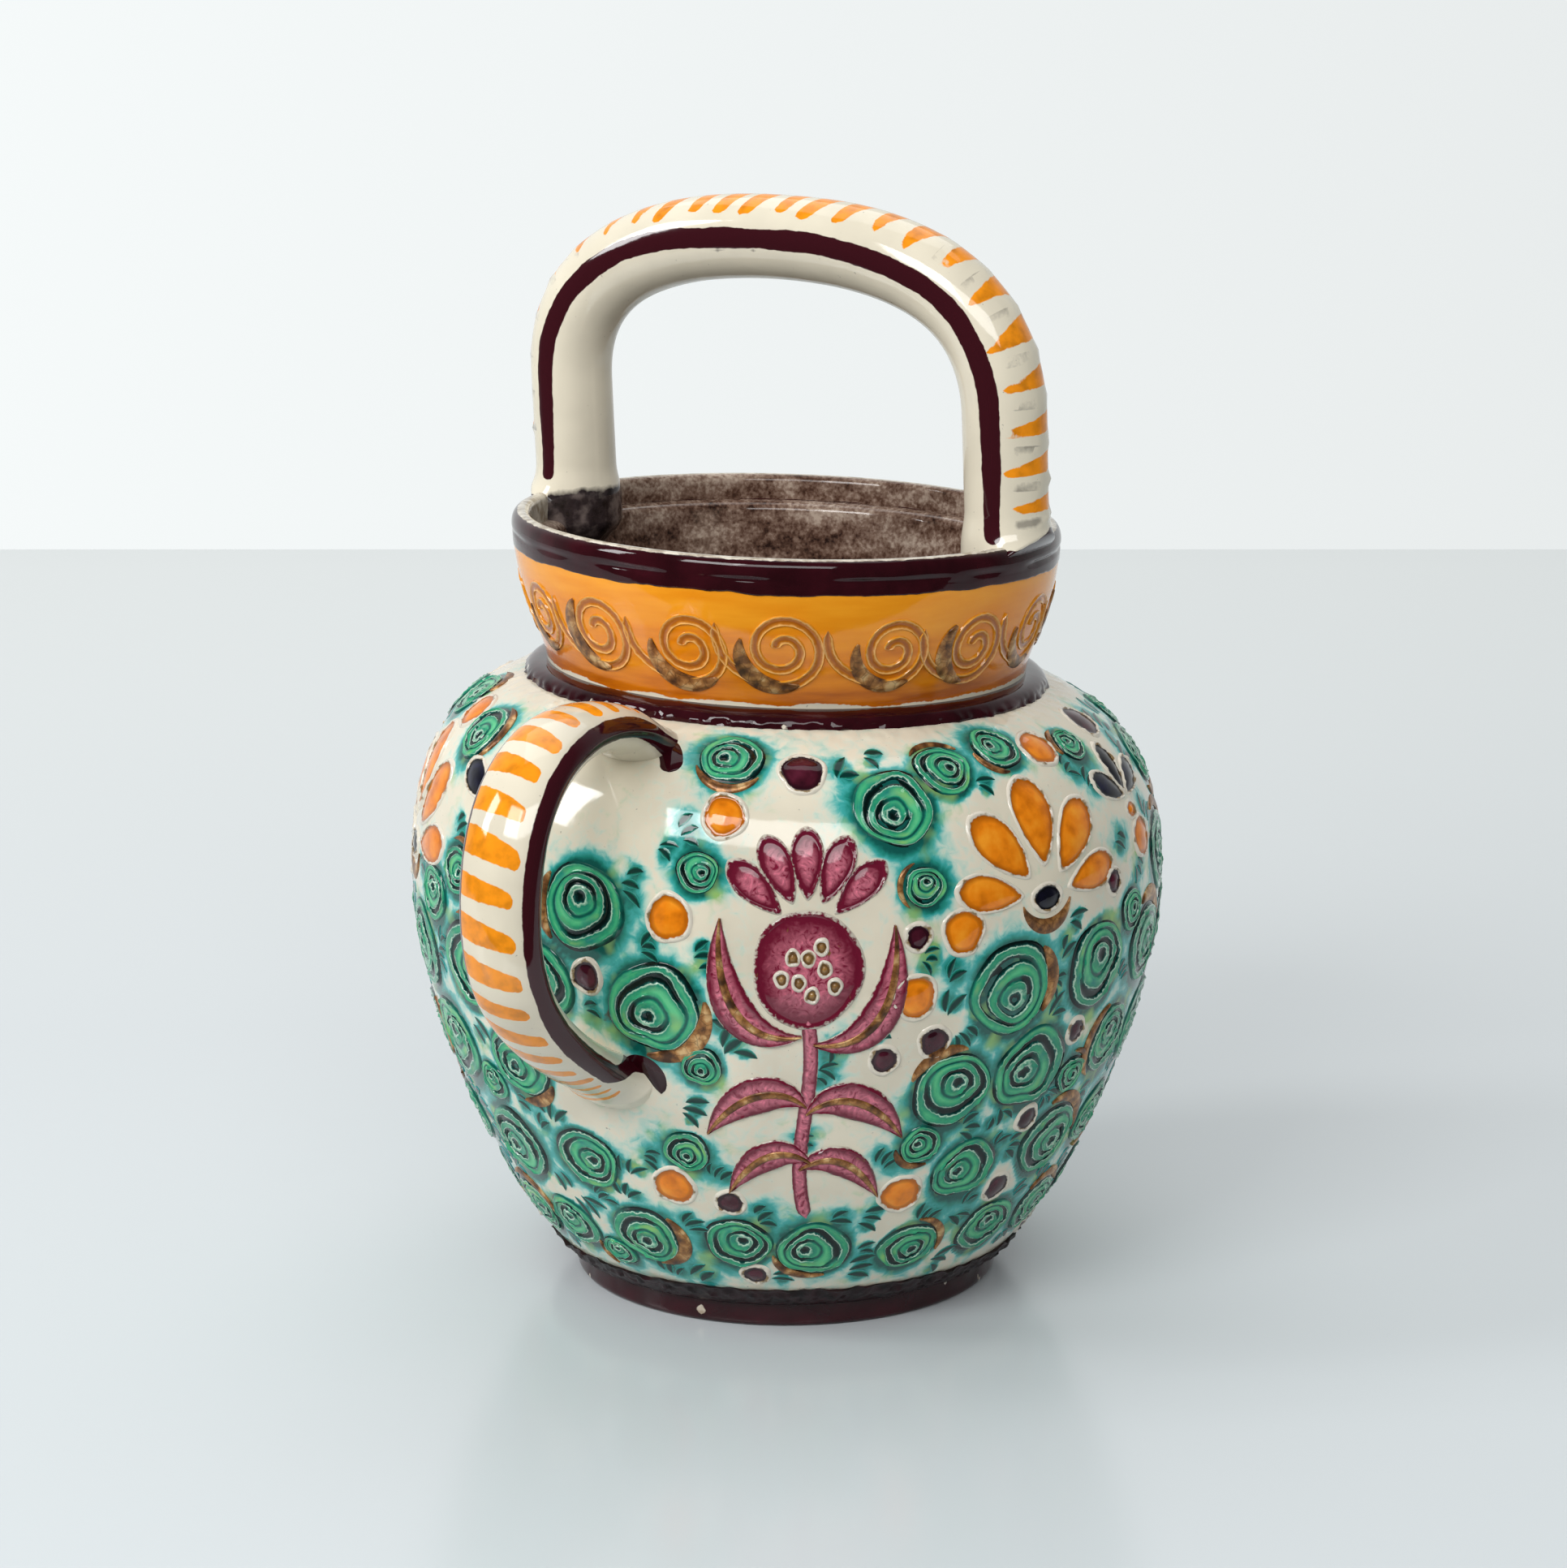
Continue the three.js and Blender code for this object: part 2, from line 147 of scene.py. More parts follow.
# Circles that the roundels leave clear: aside from a bearing, up the wall from the belly, and radius
LOOP_ROOM = ((0, 30, 15), (0, -26, 13))
SPRIG_ROOM = ((0, 17, 12), (0, 0, 15), (-9, -28, 8), (9, -29, 8), (-6, -42, 7), (6, -43, 7))
PALMETTE_ROOM = ((-11, 17, 10), (11, 17, 10), (0, 20, 9), (0, 7, 6))
BLOSSOM_ROOM = ((0, 25, 8),)
SPRIG_BEARINGS = [math.radians(bearing) for bearing in (-58, 62, 182)]
PALMETTE_BEARINGS = [math.radians(bearing) for bearing in (-20, 100, 220)]
BLOSSOM_BEARINGS = [math.radians(bearing) for bearing in (-114, 6, 126)]
FRUIT_RADIUS, FRUIT_DROP = 10.0, 1.2

# How deep a cell's closed underside lies in the wall, and a depth that marks a point as unpainted
SUNK = 0.7
OUTSIDE = -9.0
# Rings of a cell's mesh, as shares of its radius, from its sunk edge inwards
CELL_RINGS = (1.06, 1.0, 0.97, 0.94, 0.9, 0.86, 0.82, 0.66, 0.45, 0.22)
# Edges that turn by more than this stay sharp
SMOOTH_ANGLE = math.radians(65)


def linear(code):
    """An sRGB hex colour as linear red, green, blue and alpha."""
    parts = [int(code[i:i + 2], 16) / 255 for i in (1, 3, 5)]
    return tuple(c / 12.92 if c <= 0.04045 else ((c + 0.055) / 1.055) ** 2.4 for c in parts) + (1.0,)


def length(name, description, size):
    """A length that a user can change, given in millimetres."""
    return FloatProperty(name=name, description=description, default=size * MM, unit="LENGTH", precision=5)


def colour(name, description, code):
    """A colour that a user can change, given as sRGB hex."""
    return FloatVectorProperty(
        name=name, description=description, default=linear(code), subtype="COLOR", size=4, min=0, max=1
    )


class JugSizes(bpy.types.PropertyGroup):
    """Sizes of the cut and painted decoration."""

    burr: length("Burr", "Height of the ragged clay edge round a cut cell", 0.4)
    burr_width: length("Burr width", "Width of that edge", 0.8)
    pool: length("Pool", "Height of the glaze pooled in a cell", 0.34)
    ridge: length("Ridge", "Height of a roundel's rings", 0.34)
    bleed: length("Bleed", "How far the copper green runs into the white glaze", 1.1)
    basket_stroke: length("Basket stroke", "Spacing of the strokes at the basket handle's crown", 5.6)
    loop_stroke: length("Loop stroke", "Spacing of the strokes on the loop handle", 6.2)
    basket_line: length("Basket line", "Width of the aubergine line on the basket handle", 3.7)
    loop_line: length("Loop line", "Width of the aubergine line on the loop handle", 3.9)
    scroll_radius: length("Scroll", "Radius of one spiral of the collar's running scroll", 7.0)
    scroll_count: IntProperty(name="Scrolls", description="Spirals round the collar", default=16, min=3)


class JugColours(bpy.types.PropertyGroup):
    """Colours of the glazes."""

    cream: colour("Cream", "Tin-white glaze over buff clay", "#E2D9C4")
    orange: colour("Orange", "Orange of the strokes and petals", "#F29218")
    aubergine: colour("Aubergine", "Manganese brown-purple of the bands and lines", "#300911")
    rose: colour("Rose", "Pink of the fruit", "#C0687A")
    crimson: colour("Crimson", "Dark pink of the leaves", "#6A142C")
    gold: colour("Gold", "Worn gold lustre", "#7B5830")
    burr: colour("Burr", "Clay edge under thin white glaze", "#DCD4C4")


def sizes():
    return bpy.context.scene.jug_sizes


def colours():
    return bpy.context.scene.jug_colours


# Shapes


def smooth(value, low, high):
    """Eases from 0 at low to 1 at high."""
    t = np.clip((value - low) / (high - low), 0, 1)
    return t * t * (3 - 2 * t)


def hump(value, middle, half):
    """A bell that is 1 at the middle and falls off over half a width."""
    return np.exp(-(((value - middle) / half) ** 2))


def polar(start, distance, angle):
    """A flat point moved from another by a distance along an angle."""
    return start[0] + distance * math.cos(angle), start[1] + distance * math.sin(angle)


def apart(bearing, other):
    """How far round a bearing lies from another, by no more than half a turn either way."""
    return (bearing - other + math.pi) % (2 * math.pi) - math.pi


def cubic(points, places):
    """Points of a cubic curve with four control points, at places along it from 0 to 1."""
    t = places[:, None]
    a, b, c, d = (np.array(point, float) for point in points)
    return a * (1 - t) ** 3 + 3 * b * t * (1 - t) ** 2 + 3 * c * t * t * (1 - t) + d * t ** 3


def bezier(points, steps):
    """Points along the whole of a cubic curve."""
    return cubic(points, np.linspace(0, 1, steps + 1))


def arc(start, corner, end, steps):
    """Points round a corner, on a quadratic curve."""
    t = np.linspace(0, 1, steps + 1)[:, None]
    a, b, c = (np.array(point, float) for point in (start, corner, end))
    return a * (1 - t) ** 2 + 2 * b * t * (1 - t) + c * t * t


def settle(x, y, z):
    """Where a point lies once the soft pot has settled: the neck dips and the arch sways to the -X side."""
    share = smooth(z, BELLY_HEIGHT, SHOULDER[1]) * (1 - smooth(z, LIP_HEIGHT, OVERALL_HEIGHT))
    dip = math.tan(SLUMP) * (x * math.cos(SLUMP_BEARING) + y * math.sin(SLUMP_BEARING))
    sway = ARCH_SWAY * np.maximum(0, z - LIP_HEIGHT) / (OVERALL_HEIGHT - LIP_HEIGHT)
    return np.column_stack([x - sway, y, z - dip * share])


def ripple(points, size, seed=0):
    """Smooth noise from -1 to 1 at points in millimetres, with features of a size."""
    shift = Vector((17.3, 5.1, 9.7)) * (seed + 1)
    return np.array([noise.noise(Vector(point) / size + shift) for point in points])


def swell(points, push):
    """Moves points of a turned piece out from the axis."""
    radius = np.maximum(np.hypot(points[:, X], points[:, Y]), 1e-6)
    points[:, :2] *= (1 + push / radius)[:, None]


class Curve:
    """A flat line of points, read by the length along it."""

    def __init__(self, points):
        self.points = np.array(points, float)
        steps = np.diff(self.points, axis=0)
        self.length = np.concatenate([[0], np.cumsum(np.hypot(steps[:, 0], steps[:, 1]))])
        self.full = float(self.length[-1])
        tangent = np.gradient(self.points, self.length, axis=0)
        self.tangent = tangent / np.linalg.norm(tangent, axis=1)[:, None]

    def at(self, run):
        """Points at a length along the line."""
        return np.column_stack([np.interp(run, self.length, axis) for axis in self.points.T])

    def heading(self, run):
        """Directions of the line at a length along it."""
        return np.column_stack([np.interp(run, self.length, axis) for axis in self.tangent.T])

    def even(self, steps):
        """Evenly spaced points along the whole line."""
        return self.at(np.linspace(0, self.full, steps + 1))


class Wall(Curve):
    """A turned outside wall, unrolled: places on it are given across, up and off its surface."""

    def run(self, height):
        """Length along the wall up to a height."""
        return float(np.interp(height, self.points[:, 1], self.length))

    def radius(self, run):
        return np.interp(run, self.length, self.points[:, 0])

    def outward(self, run):
        """Directions out from the wall at a length along it."""
        heading = self.heading(run)
        return np.column_stack([heading[:, 1], -heading[:, 0]])

    def place(self, bearing, run, lift):
        """Points at bearings and lengths along the wall, lifted off it, once the pot has settled."""
        reach, height = (self.at(run) + self.outward(run) * lift[:, None]).T
        return settle(reach * np.cos(bearing), reach * np.sin(bearing), height)

    def wrap(self, across, up, lift, bearing, run):
        """A flat motif laid on the wall round a place."""
        return self.place(bearing + across / self.radius(run + up), run + up, lift)


def body_outline(steps):
    """The body's outside, from the base out to the belly and in to the shoulder."""
    belly = (BELLY_RADIUS, BELLY_HEIGHT)
    below, above = (BELLY_RADIUS, BELLY_HEIGHT - BELLY_BELOW), (BELLY_RADIUS, BELLY_HEIGHT + BELLY_ABOVE)
    lower = bezier([BASE, polar(BASE, BASE_SPREAD, BASE_ANGLE), below, belly], steps)
    upper = bezier([belly, above, polar(SHOULDER, SHOULDER_RUN, -SHOULDER_ANGLE), SHOULDER], steps)
    return np.vstack([lower, upper[1:]])


def collar_outline(steps):
    """The collar's outside, from the ring up to the rim."""
    foot = (COLLAR_FOOT[0], RING_TOP + COLLAR_FOOT_STRAIGHT)
    top = (COLLAR_TOP[0] - COLLAR_LEAN, COLLAR_TOP[1] - COLLAR_TOP_STRAIGHT)
    return bezier([COLLAR_FOOT, foot, top, COLLAR_TOP], steps)


BODY = Wall(body_outline(200))
COLLAR = Wall(collar_outline(120))
BELLY_RUN = BODY.run(BELLY_HEIGHT)


def spot(bearing, aside, up):
    """Bearing and length along the body of a place aside from a bearing and up the wall from the belly."""
    run = BELLY_RUN + up
    return bearing + aside / float(BODY.radius(run)), run


class Rod(Curve):
    """An oval rod along a flat path: places on it are given along, round and off its surface."""

    def __init__(self, points, width, thickness):
        super().__init__(points)
        self.width, self.thickness = width, thickness

    def place(self, along, around, lift):
        """Distance out, distance aside and height of points on the rod; angle 0 is the outer face."""
        heading = self.heading(along)
        out = np.column_stack([-heading[:, 1], heading[:, 0]])
        half = (self.thickness / 2 + lift) * np.cos(around)
        reach, height = (self.at(along) + out * half[:, None]).T
        return reach, (self.width / 2 + lift) * np.sin(around), height

    def girth(self, around):
        """Length round the section from the outer face's middle."""
        angles = np.linspace(0, math.pi, 90)
        edge = np.hypot(self.thickness / 2 * np.sin(angles), self.width / 2 * np.cos(angles))
        run = np.concatenate([[0], np.cumsum((edge[1:] + edge[:-1]) / 2 * np.diff(angles))])
        return np.sign(around) * np.interp(np.abs(around), angles, run)


def basket_path():
    """The basket handle's middle line, from the left ledge over the crown to the right ledge."""
    pulled = SPRING_HEIGHT + ARCH_FULLNESS * (CROWN_HEIGHT - SPRING_HEIGHT)
    spring, crown = (-LEG_RADIUS, SPRING_HEIGHT), (0, CROWN_HEIGHT)
    left = bezier([spring, (-LEG_RADIUS, pulled), (-LEG_RADIUS * ARCH_FULLNESS, CROWN_HEIGHT), crown], 60)
    half = np.vstack([[(-LEG_RADIUS, CORBEL_BOTTOM), (-LEG_RADIUS, PAD_TOP)], left])
    return np.vstack([half, (half * (-1, 1))[-2::-1]])


def loop_path():
    """The loop handle's middle line, from inside the shoulder out and down to inside the lower belly."""
    top_root = (float(BODY.radius(BODY.run(LOOP_TOP_HEIGHT))), LOOP_TOP_HEIGHT)
    tail_root = (float(BODY.radius(BODY.run(LOOP_TAIL_HEIGHT))), LOOP_TAIL_HEIGHT)
    top = polar(top_root, LOOP_PAD, LOOP_TOP_ANGLE)
    tail = polar(tail_root, LOOP_PAD, LOOP_TAIL_ANGLE)
    reach = (LOOP_REACH, LOOP_REACH_HEIGHT)
    above = (LOOP_REACH, LOOP_REACH_HEIGHT + LOOP_TOP_FULLNESS)
    below = (LOOP_REACH, LOOP_REACH_HEIGHT - LOOP_TAIL_FULLNESS)
    return np.vstack(
        [
            [polar(top_root, -LOOP_SUNK, LOOP_TOP_ANGLE), top_root],
            bezier([top, polar(top, LOOP_TOP_PULL, LOOP_TOP_ANGLE), above, reach], 60),
            bezier([reach, below, polar(tail, LOOP_TAIL_PULL, LOOP_TAIL_ANGLE), tail], 60)[1:],
            [tail_root, polar(tail_root, -LOOP_SUNK, LOOP_TAIL_ANGLE)],
        ]
    )


BASKET = Rod(basket_path(), BASKET_WIDTH, BASKET_THICKNESS)
LOOP = Rod(loop_path(), LOOP_WIDTH, LOOP_THICKNESS)
BASKET_FOOT = PAD_TOP - CORBEL_BOTTOM
LOOP_FOOT = LOOP_SUNK + LOOP_PAD


# Modelling


def coords(obj):
    """The mesh's points, in millimetres."""
    flat = np.empty(len(obj.data.vertices) * 3)
    obj.data.vertices.foreach_get("co", flat)
    return flat.reshape(-1, 3) / MM


def move(obj, points):
    """Puts the mesh's points at places in millimetres, no further out than the CAD model reaches."""
    obj.data.vertices.foreach_set("co", (np.clip(points, *CAD_LIMITS) * MM).ravel())
    obj.data.update()


def mark(obj, **values):
    """Keeps a number for each point of the mesh, for its material to read."""
    for name, numbers in values.items():
        layer = obj.data.attributes.get(name) or obj.data.attributes.new(name, "FLOAT", "POINT")
        full = np.broadcast_to(numbers, len(obj.data.vertices))
        layer.data.foreach_set("value", np.ascontiguousarray(full, dtype=np.float32))


def marked(obj, name):
    numbers = np.empty(len(obj.data.vertices), np.float32)
    obj.data.attributes[name].data.foreach_get("value", numbers)
    return numbers


def apply(obj, kind, **settings):
    """Adds a modifier with its settings and applies it."""
    modifier = obj.modifiers.new(kind.lower(), kind)
    for name, value in settings.items():
        setattr(modifier, name, value)
    bpy.ops.object.modifier_apply(modifier=modifier.name)


def turn(profile, columns):
    """A profile in radius and height, drawn by extruding a point and turned about the Z axis by a screw.

    The mesh keeps the length along the profile as run.
    """
    profile = np.array(profile, float)
    bpy.ops.object.select_all(action="DESELECT")
    bpy.ops.mesh.primitive_plane_add(size=MM, enter_editmode=True)
    obj = bpy.context.object
    bpy.ops.mesh.merge(type="CENTER")
    bpy.ops.transform.translate(value=(profile[0, 0] * MM, 0, profile[0, 1] * MM))
    for step in np.diff(profile, axis=0) * MM:
        bpy.ops.mesh.extrude_region_move(TRANSFORM_OT_translate={"value": (step[0], 0, step[1])})
    bpy.ops.object.mode_set(mode="OBJECT")
    drawn = coords(obj)[:, [X, Z]]
    nearest = np.linalg.norm(drawn[:, None] - profile[None], axis=2).argmin(axis=1)
    mark(obj, run=Curve(profile).length[nearest])
    apply(
        obj,
        "SCREW",
        axis="Z",
        angle=2 * math.pi,
        steps=columns,
        render_steps=columns,
        use_merge_vertices=True,
        merge_threshold=MM * MM,
    )
    bpy.ops.object.mode_set(mode="EDIT")
    bpy.ops.mesh.select_all(action="SELECT")
    bpy.ops.mesh.remove_doubles(threshold=MM * MM)
    bpy.ops.mesh.normals_make_consistent(inside=False)
    bpy.ops.object.mode_set(mode="OBJECT")
    return obj


def straight_rod(sides, rings):
    """A closed rod of length and radius 1, cut into rings, with angles round it and places along it."""
    bpy.ops.object.select_all(action="DESELECT")
    bpy.ops.mesh.primitive_cylinder_add(vertices=sides, radius=1, depth=1, location=(0, 0, 0.5))
    obj = bpy.context.object
    bpy.ops.object.transform_apply(location=True)
    bpy.context.tool_settings.mesh_select_mode = (False, True, False)
    bpy.ops.object.mode_set(mode="EDIT")
    bpy.ops.mesh.select_all(action="DESELECT")
    bpy.ops.object.mode_set(mode="OBJECT")
    points = coords(obj) * MM
    for edge in obj.data.edges:
        low, high = points[list(edge.vertices), Z]
        edge.select = bool(abs(high - low) > 0.5)
    bpy.ops.object.mode_set(mode="EDIT")
    bpy.ops.mesh.subdivide(number_cuts=rings - 1)
    bpy.ops.object.mode_set(mode="OBJECT")
    x, y, z = (coords(obj) * MM).T
    return obj, np.arctan2(y, x), z


def disc(sides, rings):
    """A closed disc with rings inset and its middle poked, as angles, radii and undersides."""
    bpy.ops.object.select_all(action="DESELECT")
    bpy.ops.mesh.primitive_circle_add(
        vertices=sides, radius=rings[0], fill_type="NGON", enter_editmode=True
    )
    bpy.ops.mesh.extrude_region_move(TRANSFORM_OT_translate={"value": (0, 0, 1)})
    for outer, inner in zip(rings, rings[1:]):
        bpy.ops.mesh.inset(thickness=(outer - inner) * math.cos(math.pi / sides), use_even_offset=True)
    bpy.ops.mesh.poke()
    bpy.ops.object.mode_set(mode="OBJECT")
    obj = bpy.context.object
    x, y, z = (coords(obj) * MM).T
    return obj, np.arctan2(y, x), np.hypot(x, y), z < 0.5


def strip(steps, lanes):
    """A closed flat strip, as places along it from 0 to 1, across it from -1 to 1, and undersides."""
    bpy.ops.object.select_all(action="DESELECT")
    bpy.ops.mesh.primitive_grid_add(x_subdivisions=steps, y_subdivisions=lanes, size=2, enter_editmode=True)
    bpy.ops.mesh.extrude_region_move(TRANSFORM_OT_translate={"value": (0, 0, 1)})
    bpy.ops.object.mode_set(mode="OBJECT")
    obj = bpy.context.object
    x, y, z = (coords(obj) * MM).T
    return obj, (x + 1) / 2, y, z < 0.5


def finish(obj, name, material, slot, *nodes):
    """Names a piece, glazes it and lets it stand for its CAD nodes."""
    obj.name = name
    obj.data.name = name
    obj.data.materials.clear()
    obj.data.materials.append(material)
    bpy.ops.object.select_all(action="DESELECT")
    obj.select_set(True)
    bpy.context.view_layer.objects.active = obj
    bpy.ops.object.shade_smooth_by_angle(angle=SMOOTH_ANGLE)
    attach(obj, "root")
    if nodes:
        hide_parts(*nodes)


# A closed cell on a wall: its outline gives flat points for angles round it
# Its lean moves its inner rings
Cell = namedtuple("Cell", "bearing run outline turn lean lift", defaults=(0, (0, 0), 0))
# A stroke on a wall: its spine gives flat points, and half its width, for places along it
Stroke = namedtuple("Stroke", "bearing run spine half turn lift", defaults=(0, 0))


def spun(x, y, angle):
    return x * math.cos(angle) - y * math.sin(angle), x * math.sin(angle) + y * math.cos(angle)


def lay(wall, obj, places, flat):
    """Lays a copy of a flat shape on the wall at each place.

    The function flat gives a copy's points, how far they stand off the wall, and the numbers they keep.
    """
    apply(obj, "ARRAY", count=len(places), use_relative_offset=False)
    points, kept = [], []
    for number, place in enumerate(places):
        x, y, lift, numbers = flat(place, number)
        x, y = spun(x, y, place.turn)
        points.append(wall.wrap(x, y, lift, place.bearing, place.run))
        kept.append(numbers)
    move(obj, np.vstack(points))
    mark(obj, **{name: np.concatenate([numbers[name] for numbers in kept]) for name in kept[0]})
    return obj


def ragged(x, y, number, size=1.0):
    """Noise for a copy's rough edges, different on every copy."""
    return ripple(np.column_stack([x, y, np.full_like(x, number * 3.7)]), size)


def cells(wall, places, sides):
    """Pools of glaze inside ragged burrs.

    The mesh keeps the ring: 0 in the middle, 0.9 at the burr and 1 at the edge.
    """
    obj, angle, ring, under = disc(sides, CELL_RINGS)
    burr, width, pool = (getattr(sizes(), name) / MM for name in ("burr", "burr_width", "pool"))

    def flat(cell, number):
        x, y = cell.outline(angle)
        share = min(0.4, width / float(np.hypot(x, y).mean()))
        knots = [0, 1 - 1.7 * share, 1 - share, 1, 1 + 0.4 * share]
        reach = np.interp(ring, [0, 0.82, 0.9, 1.0, 1.06], knots)
        x, y = x * reach, y * reach
        rough = ragged(x, y, number)
        edge = burr * np.maximum(0.15, 0.75 + 1.1 * rough) * hump(ring, 0.95, 0.04)
        dome = pool * (1 - (np.minimum(ring, 0.9) / 0.9) ** 2) + 0.06
        lift = np.where(under, -SUNK, np.where(ring > 1.02, -0.25, dome + edge)) + cell.lift
        return x, y, lift, {"ring": ring + 0.02 * rough}

    return lay(wall, obj, places, flat)


def strokes(wall, places, steps, lanes, relief):
    """Brushed or scratched strokes.

    The mesh keeps the place across as ring: 0 on the spine and 1 at the edges.
    """
    obj, along, across, under = strip(steps, lanes)
    even = np.linspace(0, 1, steps + 1)

    def flat(stroke, number):
        spine = np.column_stack(stroke.spine(even))
        heading = np.gradient(spine, axis=0)
        heading /= np.linalg.norm(heading, axis=1)[:, None]
        aside = across * stroke.half(along)
        x = np.interp(along, even, spine[:, 0]) - np.interp(along, even, heading[:, 1]) * aside
        y = np.interp(along, even, spine[:, 1]) + np.interp(along, even, heading[:, 0]) * aside
        rough = ragged(x, y, number)
        lift = np.where(under, -SUNK, relief(np.abs(across), rough)) + stroke.lift
        return x, y, lift, {"ring": np.abs(across) + 0.03 * rough}

    return lay(wall, obj, places, flat)


# Outlines and spines of the motifs


def oval(width, height, wobble=0.0, phase=0.0):
    """A round or oval cell, a little uneven."""

    def outline(angle):
        uneven = 1 + wobble * np.sin(3 * angle + phase) + wobble * 0.6 * np.sin(5 * angle + 2 * phase)
        return width / 2 * np.cos(angle) * uneven, height / 2 * np.sin(angle) * uneven

    return outline


def petal(width, height, pinch=0.35):
    """A petal, pointed at its lower end and full towards its tip."""

    def outline(angle):
        side = np.cos(angle)
        full = np.sign(side) * np.abs(side) ** 1.25 * (1 + pinch * np.sin(angle))
        return width / 2 * full, height / 2 * np.sin(angle)

    return outline


def bow(radius, start, end):
    """A spine along a round arc, from one angle to another."""

    def spine(along):
        angle = start + (end - start) * along
        return radius * np.cos(angle), radius * np.sin(angle)

    return spine


def path(*points):
    """A spine along a cubic curve."""
    return lambda along: tuple(cubic(points, along).T)


def lens(width, fullness=0.75):
    """Half the width of a stroke that swells from both pointed ends."""
    return lambda along: width / 2 * np.sin(math.pi * np.clip(along, 0.01, 0.99)) ** fullness


def brush(width, ends=0.12):
    """Half the width of a stroke of even width with round ends."""

    def half(along):
        near = np.clip(np.minimum(along, 1 - along) / ends, 0, 1)
        return width / 2 * np.sqrt(np.clip(1 - (1 - near) ** 2, 0.01, 1))

    return half


def dome(height, base=0.0, grain=0.0):
    """Relief of a stroke that is highest along its spine, with a base and a rough grain."""
    return lambda across, rough: height * (1 - across ** 2) + base + grain * rough


# The layout of the motifs on the body


class Layout:
    """Places taken on the unrolled body, as circles."""

    def __init__(self):
        self.taken = []

    def room(self, bearing, run):
        """Clear distance from a place to the nearest circle taken."""
        nearest = 1e3
        for other, level, radius in self.taken:
            mean = float(BODY.radius(run) + BODY.radius(level)) / 2
            nearest = min(nearest, math.hypot(apart(bearing, other) * mean, run - level) - radius)
        return nearest

    def take(self, bearing, run, radius):
        self.taken.append((bearing, run, radius))


Roundel = namedtuple("Roundel", "bearing run radius phase")


def roundel_rows(plan):
    """The main roundels: in staggered rows, left out where they would lap far into a circle taken."""
    row_pitch = (BODY.full - ROUNDEL_BASE_STRIP - ROUNDEL_SHOULDER_STRIP) / (ROUNDEL_ROWS - 1)
    column_pitch = 2 * math.pi / ROUNDEL_COLUMNS
    for row in range(ROUNDEL_ROWS):
        level = ROUNDEL_BASE_STRIP + row * row_pitch
        largest = ROUNDEL_FILL * column_pitch * float(BODY.radius(level)) / 2
        for column in range(ROUNDEL_COLUMNS):
            number = row * ROUNDEL_COLUMNS + column
            bearing = column_pitch * (column + row % 2 / 2) + ROUNDEL_TURN * math.sin(TURN_BEAT * number)
            run = level + ROUNDEL_WANDER * math.sin(WANDER_BEAT * number)
            radius = largest * (1 - ROUNDEL_SHRINK * (1 - math.sin(SHRINK_BEAT * number)) / 2)
            if plan.room(bearing, run) > (1 - ROUNDEL_LAP) * radius:
                yield Roundel(bearing, run, radius, 2.4 * number % (2 * math.pi))


# Circles at the tips of the sprigs' crowns and stems, which only the roundels may reach
SPRIG_TIPS = ((-11, 14, 4), (11, 14, 4), (-15, 8, 3), (15, 8, 3), (0, -51, 3))
# What fills the gaps, largest first: its kind, least and largest radius, and how often a place is tried
FILLERS = (
    ("dot", 4.0, 4.5, 500),
    ("roundel", 4.0, 6.2, 4000),
    ("dot", 2.7, 3.5, 500),
    ("comb", 1.9, 3.0, 6000),
)
# Heights between which the gaps are filled
FILL_LOW, FILL_HIGH = 12, 109
# Which of every five roundels have worn gold beside them
GILDED, GILDED_OF = (0, 2, 3), 5


@functools.lru_cache
def layout():
    """Where everything sits: the larger motifs, roundels in rows round them, and small ones in the gaps.

    Gives the roundels, the other fillers and the circles that the larger motifs take.
    """
    plan, larger = Layout(), Layout()
    for bearings, room in (
        ([LOOP_BEARING], LOOP_ROOM),
        (SPRIG_BEARINGS, SPRIG_ROOM),
        (PALMETTE_BEARINGS, PALMETTE_ROOM),
        (BLOSSOM_BEARINGS, BLOSSOM_ROOM),
    ):
        for bearing in bearings:
            for aside, up, radius in room:
                plan.take(*spot(bearing, aside, up), radius)
    larger.taken = list(plan.taken)
    roundels = list(roundel_rows(plan))
    for roundel in roundels:
        plan.take(*roundel[:3])
    for bearing in SPRIG_BEARINGS:
        for aside, up, radius in SPRIG_TIPS:
            plan.take(*spot(bearing, aside, up), radius)
    rng = random.Random(SEED)
    lowest, highest = BODY.run(FILL_LOW), BODY.run(FILL_HIGH)
    fillers = []
    for kind, least, most, tries in FILLERS:
        for _ in range(tries):
            bearing, run = rng.uniform(-math.pi, math.pi), rng.uniform(lowest, highest)
            room = plan.room(bearing, run)
            if room > least:
                radius = min(room, most)
                plan.take(bearing, run, radius)
                if kind == "roundel":
                    roundels.append(Roundel(bearing, run, radius - 0.3, rng.uniform(0, 2 * math.pi)))
                else:
                    fillers.append((kind, bearing, run, radius, rng.random()))
    return roundels, fillers, larger


